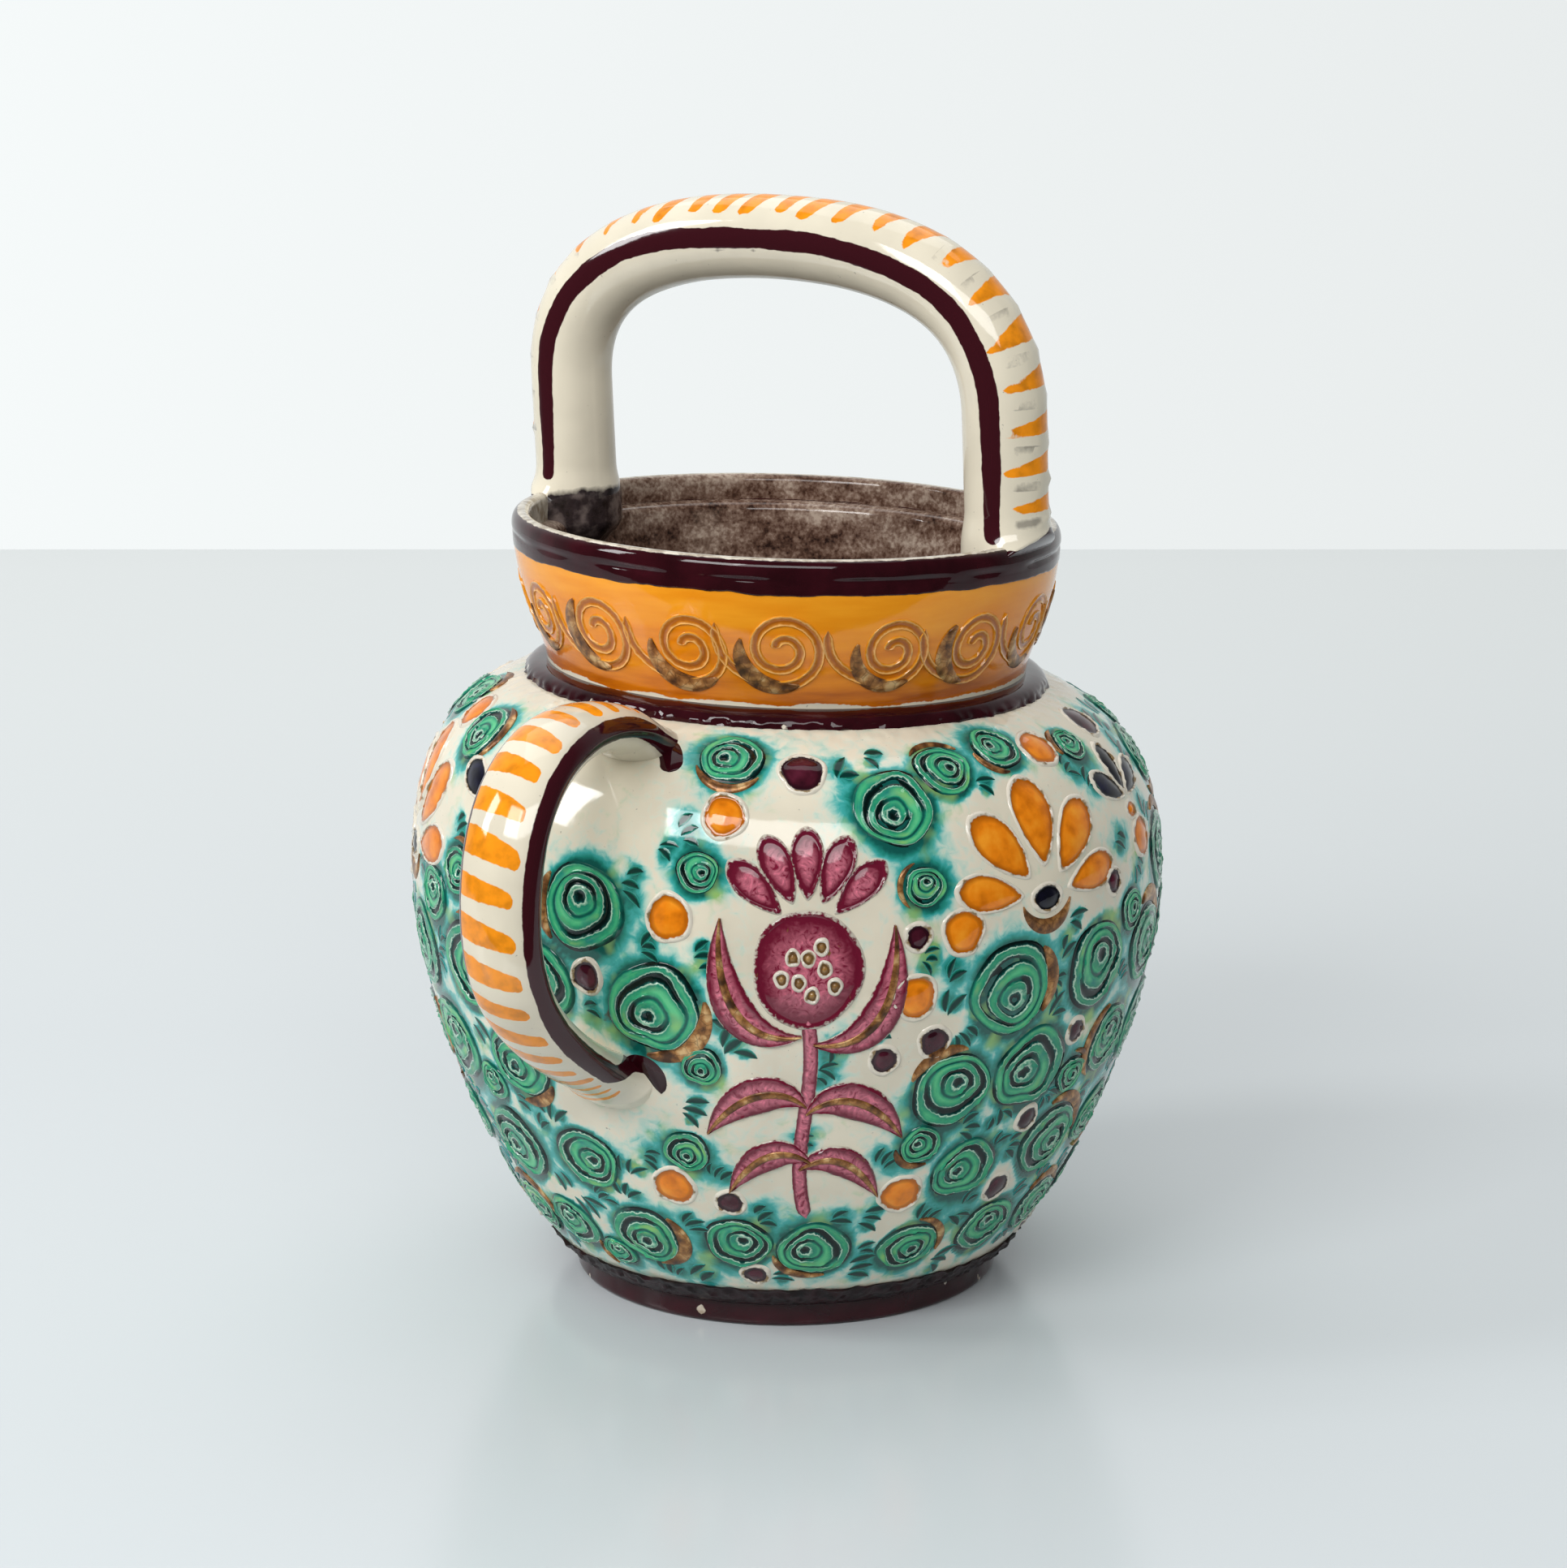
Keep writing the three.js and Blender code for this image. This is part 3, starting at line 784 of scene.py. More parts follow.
@functools.lru_cache
def motifs():
    """All cells and strokes on the body but the roundels, by the glaze that fills them."""
    rng = random.Random(SEED + 1)
    roundels, fillers, larger = layout()
    kinds = ("orange", "aubergine", "navy", "rose", "seed", "crown", "leaf", "stem", "gold", "cut")
    made = {kind: [] for kind in kinds}
    for number, roundel in enumerate(roundels):
        if number % GILDED_OF in GILDED:
            start, sweep = roundel.phase + rng.uniform(0.2, 0.9), rng.uniform(1.2, 2.2)
            spine = bow(roundel.radius + 0.7, start, start + sweep)
            half = lens(roundel.radius * rng.uniform(0.24, 0.4), 0.5)
            x, y = spun(roundel.radius, 0, start + sweep / 2)
            if larger.room(roundel.bearing + x / float(BODY.radius(roundel.run)), roundel.run + y) > 0:
                made["gold"].append(Stroke(roundel.bearing, roundel.run, spine, half, 0, 0.1))
    for kind, bearing, run, radius, draw in fillers:
        if kind == "comb":
            comb(made["cut"], bearing, run, radius, rng)
        else:
            fill = "orange" if radius > 3.8 and draw < 0.62 else "aubergine"
            made[fill].append(Cell(bearing, run, oval(2 * radius - 0.5, 2 * radius - 0.2, 0.035, draw * 9)))
    for bearing in PALMETTE_BEARINGS:
        palmette(made, bearing)
    for bearing in BLOSSOM_BEARINGS:
        blossom(made, bearing)
    for bearing in SPRIG_BEARINGS:
        sprig(made, bearing)
    return made


def comb(cuts, bearing, run, radius, rng):
    """Two or three short leaf-shaped cuts that fill a gap."""
    tilt, count = rng.uniform(-1.2, 1.2), rng.choice((2, 3, 3))
    for k in range(count):
        x, y = spun(rng.uniform(-0.5, 0.5), (k - (count - 1) / 2) * radius * 0.8, tilt)
        half = radius * rng.uniform(0.55, 0.95)
        spine = path((-half, 0), (-half * 0.4, 0.6), (half * 0.4, 0.6), (half, 0))
        width = lens(radius * rng.uniform(0.5, 0.8), 0.9)
        fan = tilt + 0.5 * (k - (count - 1) / 2) + rng.uniform(-0.3, 0.3)
        cuts.append(Stroke(bearing + x / float(BODY.radius(run)), run + y, spine, width, fan))


def palmette(made, bearing):
    """A fan of five orange petals on a navy heart with a gold crescent below."""
    heart = 7.4
    for lean, reach, width, height in (
        (0, 14.5, 9.0, 17.5),
        (0.7, 13.6, 8.4, 16.5),
        (-0.7, 13.6, 8.4, 16.5),
        (1.38, 12.6, 7.0, 14.5),
        (-1.38, 12.6, 7.0, 14.5),
    ):
        x, y = spun(0, reach, lean)
        made["orange"].append(Cell(*spot(bearing, x, heart + y), petal(width, height), lean))
    made["navy"].append(Cell(*spot(bearing, 0, heart), oval(7.6, 5.6, 0.02)))
    spine = bow(5.8, math.pi * 1.08, math.pi * 1.92)
    made["gold"].append(Stroke(*spot(bearing, 0, heart + 0.6), spine, lens(2.8)))


def blossom(made, bearing):
    """Three navy petals over an orange dot."""
    for lean in (-1.05, 0, 1.05):
        x, y = spun(0, 6.2, lean)
        made["navy"].append(Cell(*spot(bearing, x, 20.7 + y), petal(5.6, 11.5), lean))
    made["orange"].append(Cell(*spot(bearing, 0, 18), oval(4.8, 4.2, 0.03)))


def sprig(made, bearing):
    """A pomegranate with seeds and a crown on a twig, cupped by two leaves, with leaves down its stem."""
    for lean in (-0.8, -0.4, 0, 0.4, 0.8):
        x, y = spun(0, 14, lean)
        made["crown"].append(Cell(*spot(bearing, x * 0.9, 3.3 + y), petal(5.4, 12.5), lean, (0, 0), 0.05))
    fruit = oval(2 * FRUIT_RADIUS - 1, 2 * FRUIT_RADIUS + 1, 0.02, 1.0)
    made["rose"].append(Cell(*spot(bearing, 0, -FRUIT_DROP), fruit, 0, (0, 0), 0.12))
    for k in range(8):
        x, y = spun(0, 2.2 + 0.55 * k, 2.4 * k)
        place = spot(bearing, x * 0.85, y - FRUIT_DROP)
        made["seed"].append(Cell(*place, oval(2.6, 3.2, 0.04, k), 0, (0, 0), 0.42))
    twig = spot(bearing, 0, -16.3)
    for side in (-1, 1):
        for points, width in (
            (((1, 3), (11, 1), (16.5, 10), (15, 24)), 6.8),
            (((0, -11), (5, -6), (12, -8), (17, -17)), 7.6),
            (((-1, -23), (4, -19), (9, -21), (13, -30)), 6.4),
        ):
            spine = path(*((x * side, y - (1.5 if side > 0 else 0)) for x, y in points))
            made["leaf"].append(Stroke(*twig, spine, lens(width, 0.8), 0, 0.08))
            made["gold"].append(Stroke(*twig, spine, lens(1.5, 0.5), 0, 0.42))
    stem = path((0, 6), (2.4, -8), (-3.5, -20), (0.5, -36))
    made["stem"].append(Stroke(*twig, stem, brush(2.6, 0.05)))


# Materials


def add_node(tree, kind, inputs=(), stops=(), out=0, **settings):
    """Adds a node with its settings, its colour stops and its inputs, and gives one of its outputs.

    An input is a value or another node's output.
    """
    made = tree.nodes.new("ShaderNode" + kind)
    for name, value in settings.items():
        setattr(made, name, value)
    for index, (position, shade) in enumerate(stops):
        elements = made.color_ramp.elements
        stop = elements[index] if index < 2 else elements.new(position)
        stop.position = position
        stop.color = linear(shade) if isinstance(shade, str) else shade
    for key, value in dict(inputs).items():
        if isinstance(value, bpy.types.NodeSocket):
            tree.links.new(value, made.inputs[key])
        else:
            made.inputs[key].default_value = value
    return made.outputs[out]


def per(size):
    """A texture's scale for features of a size in millimetres."""
    return 1 / (size * MM)


def toned(shade, factor):
    """A linear colour made lighter or darker."""
    return tuple(min(1.0, c * factor) for c in shade[:3]) + (1.0,)


class Glaze:
    """A fired glaze in the making: its nodes, its shader and the piece's own coordinates."""

    def __init__(self, name, **sockets):
        self.material = bpy.data.materials.new(name)
        self.material.use_nodes = True
        self.tree = self.material.node_tree
        self.node = functools.partial(add_node, self.tree)
        self.shader = self.tree.nodes["Principled BSDF"]
        for socket, value in sockets.items():
            self.shader.inputs[socket].default_value = value
        self.place = self.node("TexCoord", out="Object")

    def frayed(self, value, size, waver, detail=3.0, warp=0.0):
        """A value that noise with features of a size moves up and down, by no more than the waver."""
        features = {"Vector": self.place, "Scale": per(size), "Detail": detail, "Distortion": warp}
        cloud = self.node("TexNoise", features)
        lowest = self.node("Math", {0: value, 1: 1, 2: -waver}, operation="MULTIPLY_ADD")
        return self.node("Math", {0: cloud, 1: 2 * waver, 2: lowest}, operation="MULTIPLY_ADD")

    def laid(self, base, over, value, low, high):
        """One colour over another: none of it where a value is low, all of it where the value is high."""
        share = self.node("MapRange", {"Value": value, "From Min": low, "From Max": high})
        return self.node("Mix", {0: share, 6: base, 7: over}, out=2, data_type="RGBA")

    def brushed(self, base, over, name, waver, size=1.0, soft=0.07):
        """One colour brushed over another, by the depth in millimetres that the mesh keeps under a name.

        The stroke's edge wavers by a distance, with features of a size.
        """
        depth = self.node("Attribute", out="Fac", attribute_name=name)
        return self.laid(base, over, self.frayed(depth, size, waver), -soft, soft)

    def cloudy(self, size, *stops, detail=3.0, warp=0.0):
        """A colour that varies over features of a size."""
        features = {"Vector": self.place, "Scale": per(size), "Detail": detail, "Distortion": warp}
        return self.node("ValToRGB", {"Fac": self.node("TexNoise", features)}, stops)

    def coat(self, base, size, depth):
        """Gives the shader its colour, and the slow waves that a brushed glaze sets with."""
        self.tree.links.new(base, self.shader.inputs["Base Color"])
        height = self.node("TexNoise", {"Vector": self.place, "Scale": per(size)})
        waves = self.node("Bump", {"Height": height, "Strength": 1.0, "Distance": depth * MM})
        self.tree.links.new(waves, self.shader.inputs["Normal"])
        return self.material


def speckled_cream(g):
    """Tin-white glaze, warmer where it lies thin over the buff clay, with small iron specks."""
    cream = colours().cream
    base = g.cloudy(17, (0.3, toned(cream, 0.88)), (0.55, cream), (0.75, toned(cream, 1.06)))
    specks = g.node("TexNoise", {"Vector": g.place, "Scale": per(0.8)})
    return g.laid(base, toned(cream, 0.5), specks, 0.73, 0.79)


def patina(g):
    """Warm brown stain in the pores of the glaze inside the mouth, in fine grains and broad smears."""
    depth = g.node("Attribute", out="Fac", attribute_name="inside")
    stain = g.node("MapRange", {"Value": depth, "From Max": 9.0, "To Min": 0.05, "To Max": -0.02})
    along = g.node("Mapping", {"Vector": g.place, "Scale": (1, 1, 3)})
    for share, cloud in (
        (0.3, {"Vector": g.place, "Scale": per(0.7), "Detail": 3.0}),
        (0.3, {"Vector": g.place, "Scale": per(2.6), "Detail": 4.0, "Distortion": 0.8}),
        (0.4, {"Vector": along, "Scale": per(12), "Detail": 3.0}),
    ):
        added = {0: g.node("TexNoise", cloud), 1: share, 2: stain}
        stain = g.node("Math", added, operation="MULTIPLY_ADD")
    browns = ((0.37, "#281610"), (0.45, "#5A4135"), (0.53, "#836B5D"), (0.63, "#B8A595"))
    return g.node("ValToRGB", {"Fac": stain}, browns)


@functools.lru_cache
def tin_glaze():
    """Tin-white glaze on buff earthenware: glossy, warm white, stained where copper green ran into it."""
    g = Glaze("tin_glaze", Roughness=0.08, IOR=1.55)
    stain = g.frayed(g.node("Attribute", out="Fac", attribute_name="green"), 2.4, 0.25, 4.0, 0.8)
    greens = ((0.05, "#CFE6DC"), (0.2, "#8FD0C6"), (0.36, "#3FA5A0"), (0.54, "#208578"), (0.75, "#0D564E"))
    run = g.node("ValToRGB", {"Fac": stain}, greens)
    yellowed = g.node("TexNoise", {"Vector": g.place, "Scale": per(6)})
    run = g.laid(run, linear("#8FB86A"), yellowed, 0.55, 0.75)
    base = g.laid(speckled_cream(g), run, stain, 0.03, 0.3)
    base = g.brushed(base, linear("#4A3D33"), "grime", 0.5, 0.9, 0.4)
    mouth = g.node("Attribute", out="Fac", attribute_name="inside")
    return g.coat(g.laid(base, patina(g), mouth, -1, 1), 5, 0.05)


@functools.lru_cache
def amber_glaze():
    """Iron-amber glaze brushed round the collar: darker where it pooled, streaked along the turn."""
    g = Glaze("amber_glaze", Roughness=0.08, IOR=1.5)
    level = g.node("Attribute", out="Fac", attribute_name="level")
    height = g.node("MapRange", {"Value": level, "From Min": AMBER_POOLED, "From Max": AMBER_THIN})
    thin = g.node("Math", {0: height, 1: 0.75, 2: -0.25}, operation="MULTIPLY_ADD")
    streaks = g.node("Mapping", {"Vector": g.place, "Scale": (0.22, 0.22, 1.5)})
    flow = g.node("TexNoise", {"Vector": streaks, "Scale": per(4), "Detail": 4.0})
    thin = g.node("Math", {0: flow, 1: 0.9, 2: thin}, operation="MULTIPLY_ADD")
    ambers = ((0.2, "#B25808"), (0.4, "#DA7A0C"), (0.6, "#EC8E12"), (0.9, "#F6A022"))
    base = g.node("ValToRGB", {"Fac": thin}, ambers)
    base = g.brushed(base, speckled_cream(g), "line", 0.45, 1.5)
    mouth = g.node("Attribute", out="Fac", attribute_name="inside")
    return g.coat(g.laid(base, patina(g), mouth, -0.2, 0.4), 5, 0.05)


@functools.lru_cache
def aubergine_glaze():
    """Manganese glaze, almost black where thick, worn to the white body on the lip and on nicks."""
    g = Glaze("aubergine_glaze", Roughness=0.06, IOR=1.42)
    dark = colours().aubergine
    base = g.cloudy(6, (0.3, toned(dark, 0.6)), (0.55, dark), (0.8, toned(dark, 1.5)))
    worn = g.cloudy(2, (0.35, "#A2937F"), (0.6, "#DAD1C1"))
    base = g.brushed(base, worn, "worn", 0.35, 1.6)
    base = g.brushed(base, patina(g), "inside", 0.3, 2.0, 0.2)
    return g.coat(base, 4, 0.04)


@functools.lru_cache
def shaded_manganese_crust():
    """Manganese glaze dragged into a half matt crust, nearly black: darker than the aubergine as painted
    shade of the underside in the jug's own shadow.
    """
    g = Glaze("shaded_manganese_crust", Roughness=0.4, IOR=1.35)
    # Painted shade: these browns are darker than the aubergine glaze, for the shade under the belly.
    return g.coat(g.cloudy(2.5, (0.35, "#0D0305"), (0.65, "#2A0B12")), 1.2, 0.12)


@functools.lru_cache
def striped_glaze():
    """Tin-white glaze of the handles, with orange strokes, an aubergine line, grey scratches of grime and
    painted shade, and darker grime.
    """
    g = Glaze("striped_glaze", Roughness=0.08, IOR=1.55)
    orange, dark = colours().orange, colours().aubergine
    paint = g.cloudy(2.4, (0.3, toned(orange, 0.72)), (0.52, orange), (0.75, toned(orange, 1.15)))
    grime = g.cloudy(3.4, (0.34, "#150F0E"), (0.5, "#332A2B"), (0.66, "#6B5F5B"), detail=6.0)
    # The scratches' grey is partly grime and partly painted shade beside the ridges.
    base = g.brushed(speckled_cream(g), linear("#A39C8E"), "scratch", 0.5, 0.7, 0.5)
    base = g.brushed(base, paint, "stroke", 0.28, 1.4)
    base = g.brushed(base, grime, "grime", 1.0, 2.4, 0.5)
    base = g.brushed(base, toned(dark, 1.3), "line", 0.3, 2.4)
    base = g.brushed(base, dark, "band", 0.4, 2.2)
    return g.coat(base, 5, 0.05)


@functools.lru_cache
def copper_green():
    """Copper-green glaze over cut rings: mint on ridges, black-green in grooves from pooled glaze and
    painted shade, with a painted highlight as a pale line along the burrs.
    """
    g = Glaze("copper_green", Roughness=0.08, IOR=1.42)
    edge = g.frayed(g.node("Attribute", out="Fac", attribute_name="cut"), 0.8, 0.4)
    cut = g.node("MapRange", {"Value": edge, "From Min": 0, "From Max": 3})
    # Painted shade and highlight: near black in the grooves, partly pooled glaze and partly shade, then a
    # pale line beside them that stands for the burrs' glints.
    groove = ((0.12, "#021412"), (0.27, "#062E2B"), (0.33, "#14645A"), (0.36, "#C6DAC6"))
    ridge = ((0.4, "#8FC0A4"), (0.47, "#1F866A"), (0.68, "#38A373"), (1.0, "#5CC087"))
    deep = g.node("ValToRGB", {"Fac": cut}, groove + ridge)
    greens = ((0.1, "#0E564C"), (0.3, "#1D7A63"), (0.42, "#329A72"), (0.7, "#45AF7C"), (1.0, "#5CC087"))
    faint = g.node("ValToRGB", {"Fac": cut}, greens)
    strength = g.frayed(g.node("Attribute", out="Fac", attribute_name="deep"), 3.0, 0.45, 2.0)
    base = g.laid(faint, deep, strength, 0.15, 0.55)
    washes = g.node("TexNoise", {"Vector": g.place, "Scale": per(7), "Detail": 1.0})
    thin = g.laid(linear("#187478"), linear("#93C66C"), washes, 0.45, 0.6)
    patches = g.node("TexNoise", {"Vector": g.place, "Scale": per(4.5)})
    patches = g.node("MapRange", {"Value": patches, "From Min": 0.5, "From Max": 0.7})
    on_ridge = g.node("MapRange", {"Value": edge, "From Min": 1.3, "From Max": 2.0})
    share = g.node("Math", {0: on_ridge, 1: patches}, operation="MULTIPLY")
    share = g.node("Math", {0: share, 1: 0.75, 2: 0.0}, operation="MULTIPLY_ADD")
    base = g.node("Mix", {0: share, 6: base, 7: thin}, out=2, data_type="RGBA")
    return g.coat(base, 3, 0.05)


@functools.lru_cache
def filled_glaze(name, dark, middle, light):
    """A coloured glaze pooled in a cut cell: deeper at its edge, with the bare clay burr round it."""
    g = Glaze(name, Roughness=0.07, IOR=1.5)
    ring = g.node("Attribute", out="Fac", attribute_name="ring")
    base = g.cloudy(3.6, (0.3, dark), (0.5, middle), (0.72, light))
    base = g.laid(base, toned(linear(dark), 0.7), ring, 0.7, 0.9)
    cloud = g.node("TexNoise", {"Vector": g.place, "Scale": per(2.0), "Detail": 3.0})
    inward = g.node("Math", {0: ring, 1: -2.5, 2: 2.3}, operation="MULTIPLY_ADD")
    scratched = g.node("Math", {0: cloud, 1: 1, 2: inward}, operation="MULTIPLY_ADD")
    bare = g.laid(colours().burr, linear("#8A7350"), scratched, 0.48, 0.6)
    return g.coat(g.laid(base, bare, g.frayed(ring, 0.9, 0.05), 0.895, 0.915), 4, 0.05)


@functools.lru_cache
def rose_glaze(name, flecks):
    """Pink glaze with a crimson edge, brushed over with flecks of worn gold."""
    g = Glaze(name, Roughness=0.08, IOR=1.5)
    rose, crimson = colours().rose, colours().crimson
    ring = g.node("Attribute", out="Fac", attribute_name="ring")
    pinks = ((0.34, toned(crimson, 1.4)), (0.46, toned(rose, 0.8)), (0.56, rose), (0.7, toned(rose, 1.5)))
    base = g.cloudy(2.2, *pinks, detail=4.0, warp=2.5)
    base = g.laid(base, crimson, g.frayed(ring, 1.6, 0.15), 0.42, 0.8)
    gilt = g.node("TexNoise", {"Vector": g.place, "Scale": per(2.6), "Detail": 3.0, "Distortion": 0.6})
    base = g.laid(base, colours().gold, gilt, flecks, flecks + 0.06)
    base = g.laid(base, toned(colours().burr, 0.8), g.frayed(ring, 0.8, 0.12), 0.95, 1.0)
    return g.coat(base, 3, 0.06)


@functools.lru_cache
def gold_lustre():
    """Overglaze gold worn to brown, crackled and dull."""
    g = Glaze("gold_lustre", Roughness=0.3, Metallic=0.3)
    base = g.cloudy(2.4, (0.32, "#4A2C16"), (0.46, "#84562C"), (0.57, "#AF7C46"), (0.68, "#D2AE7A"))
    cracks = g.node("TexVoronoi", {"Vector": g.place, "Scale": per(1.7)}, feature="DISTANCE_TO_EDGE")
    return g.coat(g.laid(linear("#3B2814"), base, cracks, -0.05, 0.06), 1.2, 0.05)


@functools.lru_cache
def scratched_amber():
    """Lines scratched through the amber glaze: brown in the groove, and pale along the burr as a painted
    highlight.
    """
    g = Glaze("scratched_amber", Roughness=0.1, IOR=1.5)
    edge = g.frayed(g.node("Attribute", out="Fac", attribute_name="ring"), 0.9, 0.25)
    # Painted highlight: the pale amber at the burr's crest stands for light catching it.
    ambers = ((0.1, "#A65A0E"), (0.42, "#C0721A"), (0.66, "#E9B46C"), (0.8, "#DE962E"), (0.98, "#D88618"))
    return g.coat(g.node("ValToRGB", {"Fac": edge}, ambers), 3, 0.04)


@functools.lru_cache
def cut_green():
    """Short cuts flooded with copper green."""
    g = Glaze("cut_green", Roughness=0.08, IOR=1.42)
    ring = g.node("Attribute", out="Fac", attribute_name="ring")
    greens = ((0.2, "#04201E"), (0.5, "#0A433C"), (0.8, "#1F8068"), (1.0, "#3E9DA0"))
    return g.coat(g.node("ValToRGB", {"Fac": ring}, greens), 3, 0.04)


# Pieces


class JUG_OT_foot(bpy.types.Operator):
    """Turns the foot pad and glazes it aubergine"""

    bl_idname = "jug.foot"
    bl_label = "Foot"

    COLUMNS, CRUST_COLUMNS = 240, 480
    # How far the pad reaches into the body, how far in its top is drawn, and how deep its side is dented
    LAP, TOP_INSET, DENT = 0.4, 3, 0.3
    # The crust's steps up the wall, its thickness and its root
    CRUST_STEPS, CRUST_SKIN, CRUST_ROOT = 10, 0.35, 1.5
    # How far the crust's teeth stand out, and how far its upper edge strays
    TEETH, STRAY = 1.3, 0.7

    def execute(self, context):
        edge = arc((FOOT_RADIUS - FOOT_EDGE, 0), (FOOT_RADIUS, 0), (FOOT_RADIUS, FOOT_EDGE), 6)
        side = [(FOOT_RADIUS, z) for z in np.linspace(FOOT_EDGE, FOOT_HEIGHT + self.LAP, 10)[1:]]
        top = [(FOOT_RADIUS - self.TOP_INSET, side[-1][1]), (0, side[-1][1])]
        obj = turn(np.vstack([[(0, 0)], edge, side, top]), self.COLUMNS)
        points = coords(obj)
        dents = np.minimum(ripple(points, 5, seed=2), 0) * self.DENT
        swell(points, dents * smooth(points[:, Z], 0.4, 1.5))
        move(obj, points)
        mark(obj, worn=(ripple(points, 3.2, seed=3) - 0.6) * 4, inside=OUTSIDE)
        finish(obj, "glazed_foot", aubergine_glaze(), "aubergine_glaze", "foot_pad")
        self.crust()
        return {"FINISHED"}

    def crust(self):
        """A dry crust of glaze on the body's lowest edge, dragged into teeth; its near black is partly
        painted shade.
        """
        runs = np.linspace(0, BODY.run(FOOT_BAND), self.CRUST_STEPS)
        skin = BODY.at(runs) + self.CRUST_SKIN * BODY.outward(runs)
        low = (FOOT_RADIUS - self.CRUST_ROOT, BODY_BOTTOM + 0.5)
        high = skin[-1] - (self.CRUST_ROOT, -0.3)
        profile = np.vstack([low, skin, high, low])
        obj = turn(profile, self.CRUST_COLUMNS)
        points = coords(obj)
        lengths = Curve(profile).length
        share = (marked(obj, "run") - lengths[1]) / (lengths[self.CRUST_STEPS] - lengths[1])
        outer = (share > -0.01) & (share < 1.01)
        teeth = np.abs(ripple(points, 1.7, seed=4)) * np.sin(math.pi * np.clip(share, 0.05, 0.9)) ** 0.5
        points[:, Z] += np.where(outer, share * ripple(points, 2.0, seed=5) * self.STRAY, 0)
        swell(points, np.where(outer, self.TEETH * teeth, 0))
        move(obj, points)
        finish(obj, "foot_crust", shaded_manganese_crust(), "aubergine_glaze")


class JUG_OT_body(bpy.types.Operator):
    """Turns the body and lets the copper green run on it"""

    bl_idname = "jug.body"
    bl_label = "Body"

    OUTER_STEPS, INNER_STEPS, COLUMNS = 158, 14, 512
    # Heights between which the body's glaze begins to fray under the ring
    FRINGE = (110.4, 111.6)
    # The smudge of grime under the loop: how far aside, how high, how far it reaches and how flat it is
    SMUDGE_ASIDE, SMUDGE_HEIGHT, SMUDGE_REACH, SMUDGE_FLATNESS = 6.5, 65, 4.2, 2.2
    # How strongly roundels and cuts stain the glaze, a cut's radius, and how far off a stain is followed
    ROUNDEL_STAIN, CUT_STAIN, CUT_RADIUS, STAIN_REACH = 0.8, 0.66, 0.8, 12

    def execute(self, context):
        inner_runs = np.linspace(0, BODY.full, self.INNER_STEPS + 1)
        inner = BODY.at(inner_runs) - BODY.outward(inner_runs) * BODY_WALL
        inner[:, 1] = np.maximum(inner[:, 1], FLOOR)
        neck = [(NECK_BORE, SHOULDER[1]), (NECK_BORE, SHOULDER[1] - BODY_WALL)]
        outer = BODY.even(self.OUTER_STEPS)
        profile = np.vstack([[(0, BODY_BOTTOM)], outer, neck, inner[-2::-1], [(0, FLOOR)]])
        obj = turn(profile, self.COLUMNS)
        points = coords(obj)
        run = marked(obj, "run") - BASE[0]
        out = smooth(run, -2, 0) * (1 - smooth(run, BODY.full, BODY.full + 1))
        level = points[:, Z]
        fringe = smooth(level, *self.FRINGE) * np.maximum(0, 0.25 + 0.7 * ripple(points, 1.5, seed=5))
        push = out * (ripple(points, 24) * 0.12 + fringe)
        swell(points, np.minimum(push, BELLY_RADIUS - np.hypot(points[:, X], points[:, Y])))
        bearing = np.arctan2(points[:, Y], points[:, X])
        shown = out > 0.5
        aside = (bearing - LOOP_BEARING) * BELLY_RADIUS - self.SMUDGE_ASIDE
        smudge = np.hypot(aside, (level - self.SMUDGE_HEIGHT) * self.SMUDGE_FLATNESS)
        grime = self.SMUDGE_REACH - smudge + 2.5 * ripple(points, 2.2, seed=17)
        mark(
            obj,
            green=np.where(shown, self.bleed(points, bearing, run), 0),
            grime=np.where(shown, grime, OUTSIDE),
            inside=np.where(run > BODY.full + 2, 5, OUTSIDE),
        )
        move(obj, settle(*points.T))
        finish(obj, "glazed_body", tin_glaze(), "cream_glaze", "body")
        return {"FINISHED"}

    def bleed(self, points, bearing, run):
        """How strongly copper green has run: most beside a roundel or a cut, and further downwards."""
        reach = sizes().bleed / MM * (1 + 1.1 * np.clip(ripple(points, 11, seed=18) * 1.5, -0.75, 1))
        radius = np.hypot(points[:, X], points[:, Y])
        stain = np.zeros(len(points))
        sources = [(*roundel[:3], self.ROUNDEL_STAIN) for roundel in layout()[0]]
        sources += [(cut.bearing, cut.run, self.CUT_RADIUS, self.CUT_STAIN) for cut in motifs()["cut"]]
        for centre, level, size, strength in sources:
            near = np.flatnonzero(np.abs(run - level) < size + self.STAIN_REACH)
            aside = apart(bearing[near], centre) * radius[near]
            up = run[near] - level
            away = np.maximum(np.hypot(aside, np.where(up < 0, up * 0.9, up)) - size, 0)
            spread = 0.82 * np.exp(-away / reach[near]) + 0.18 * np.exp(-away / (3.5 * reach[near]))
            stain[near] = np.maximum(stain[near], strength * spread)
        return stain


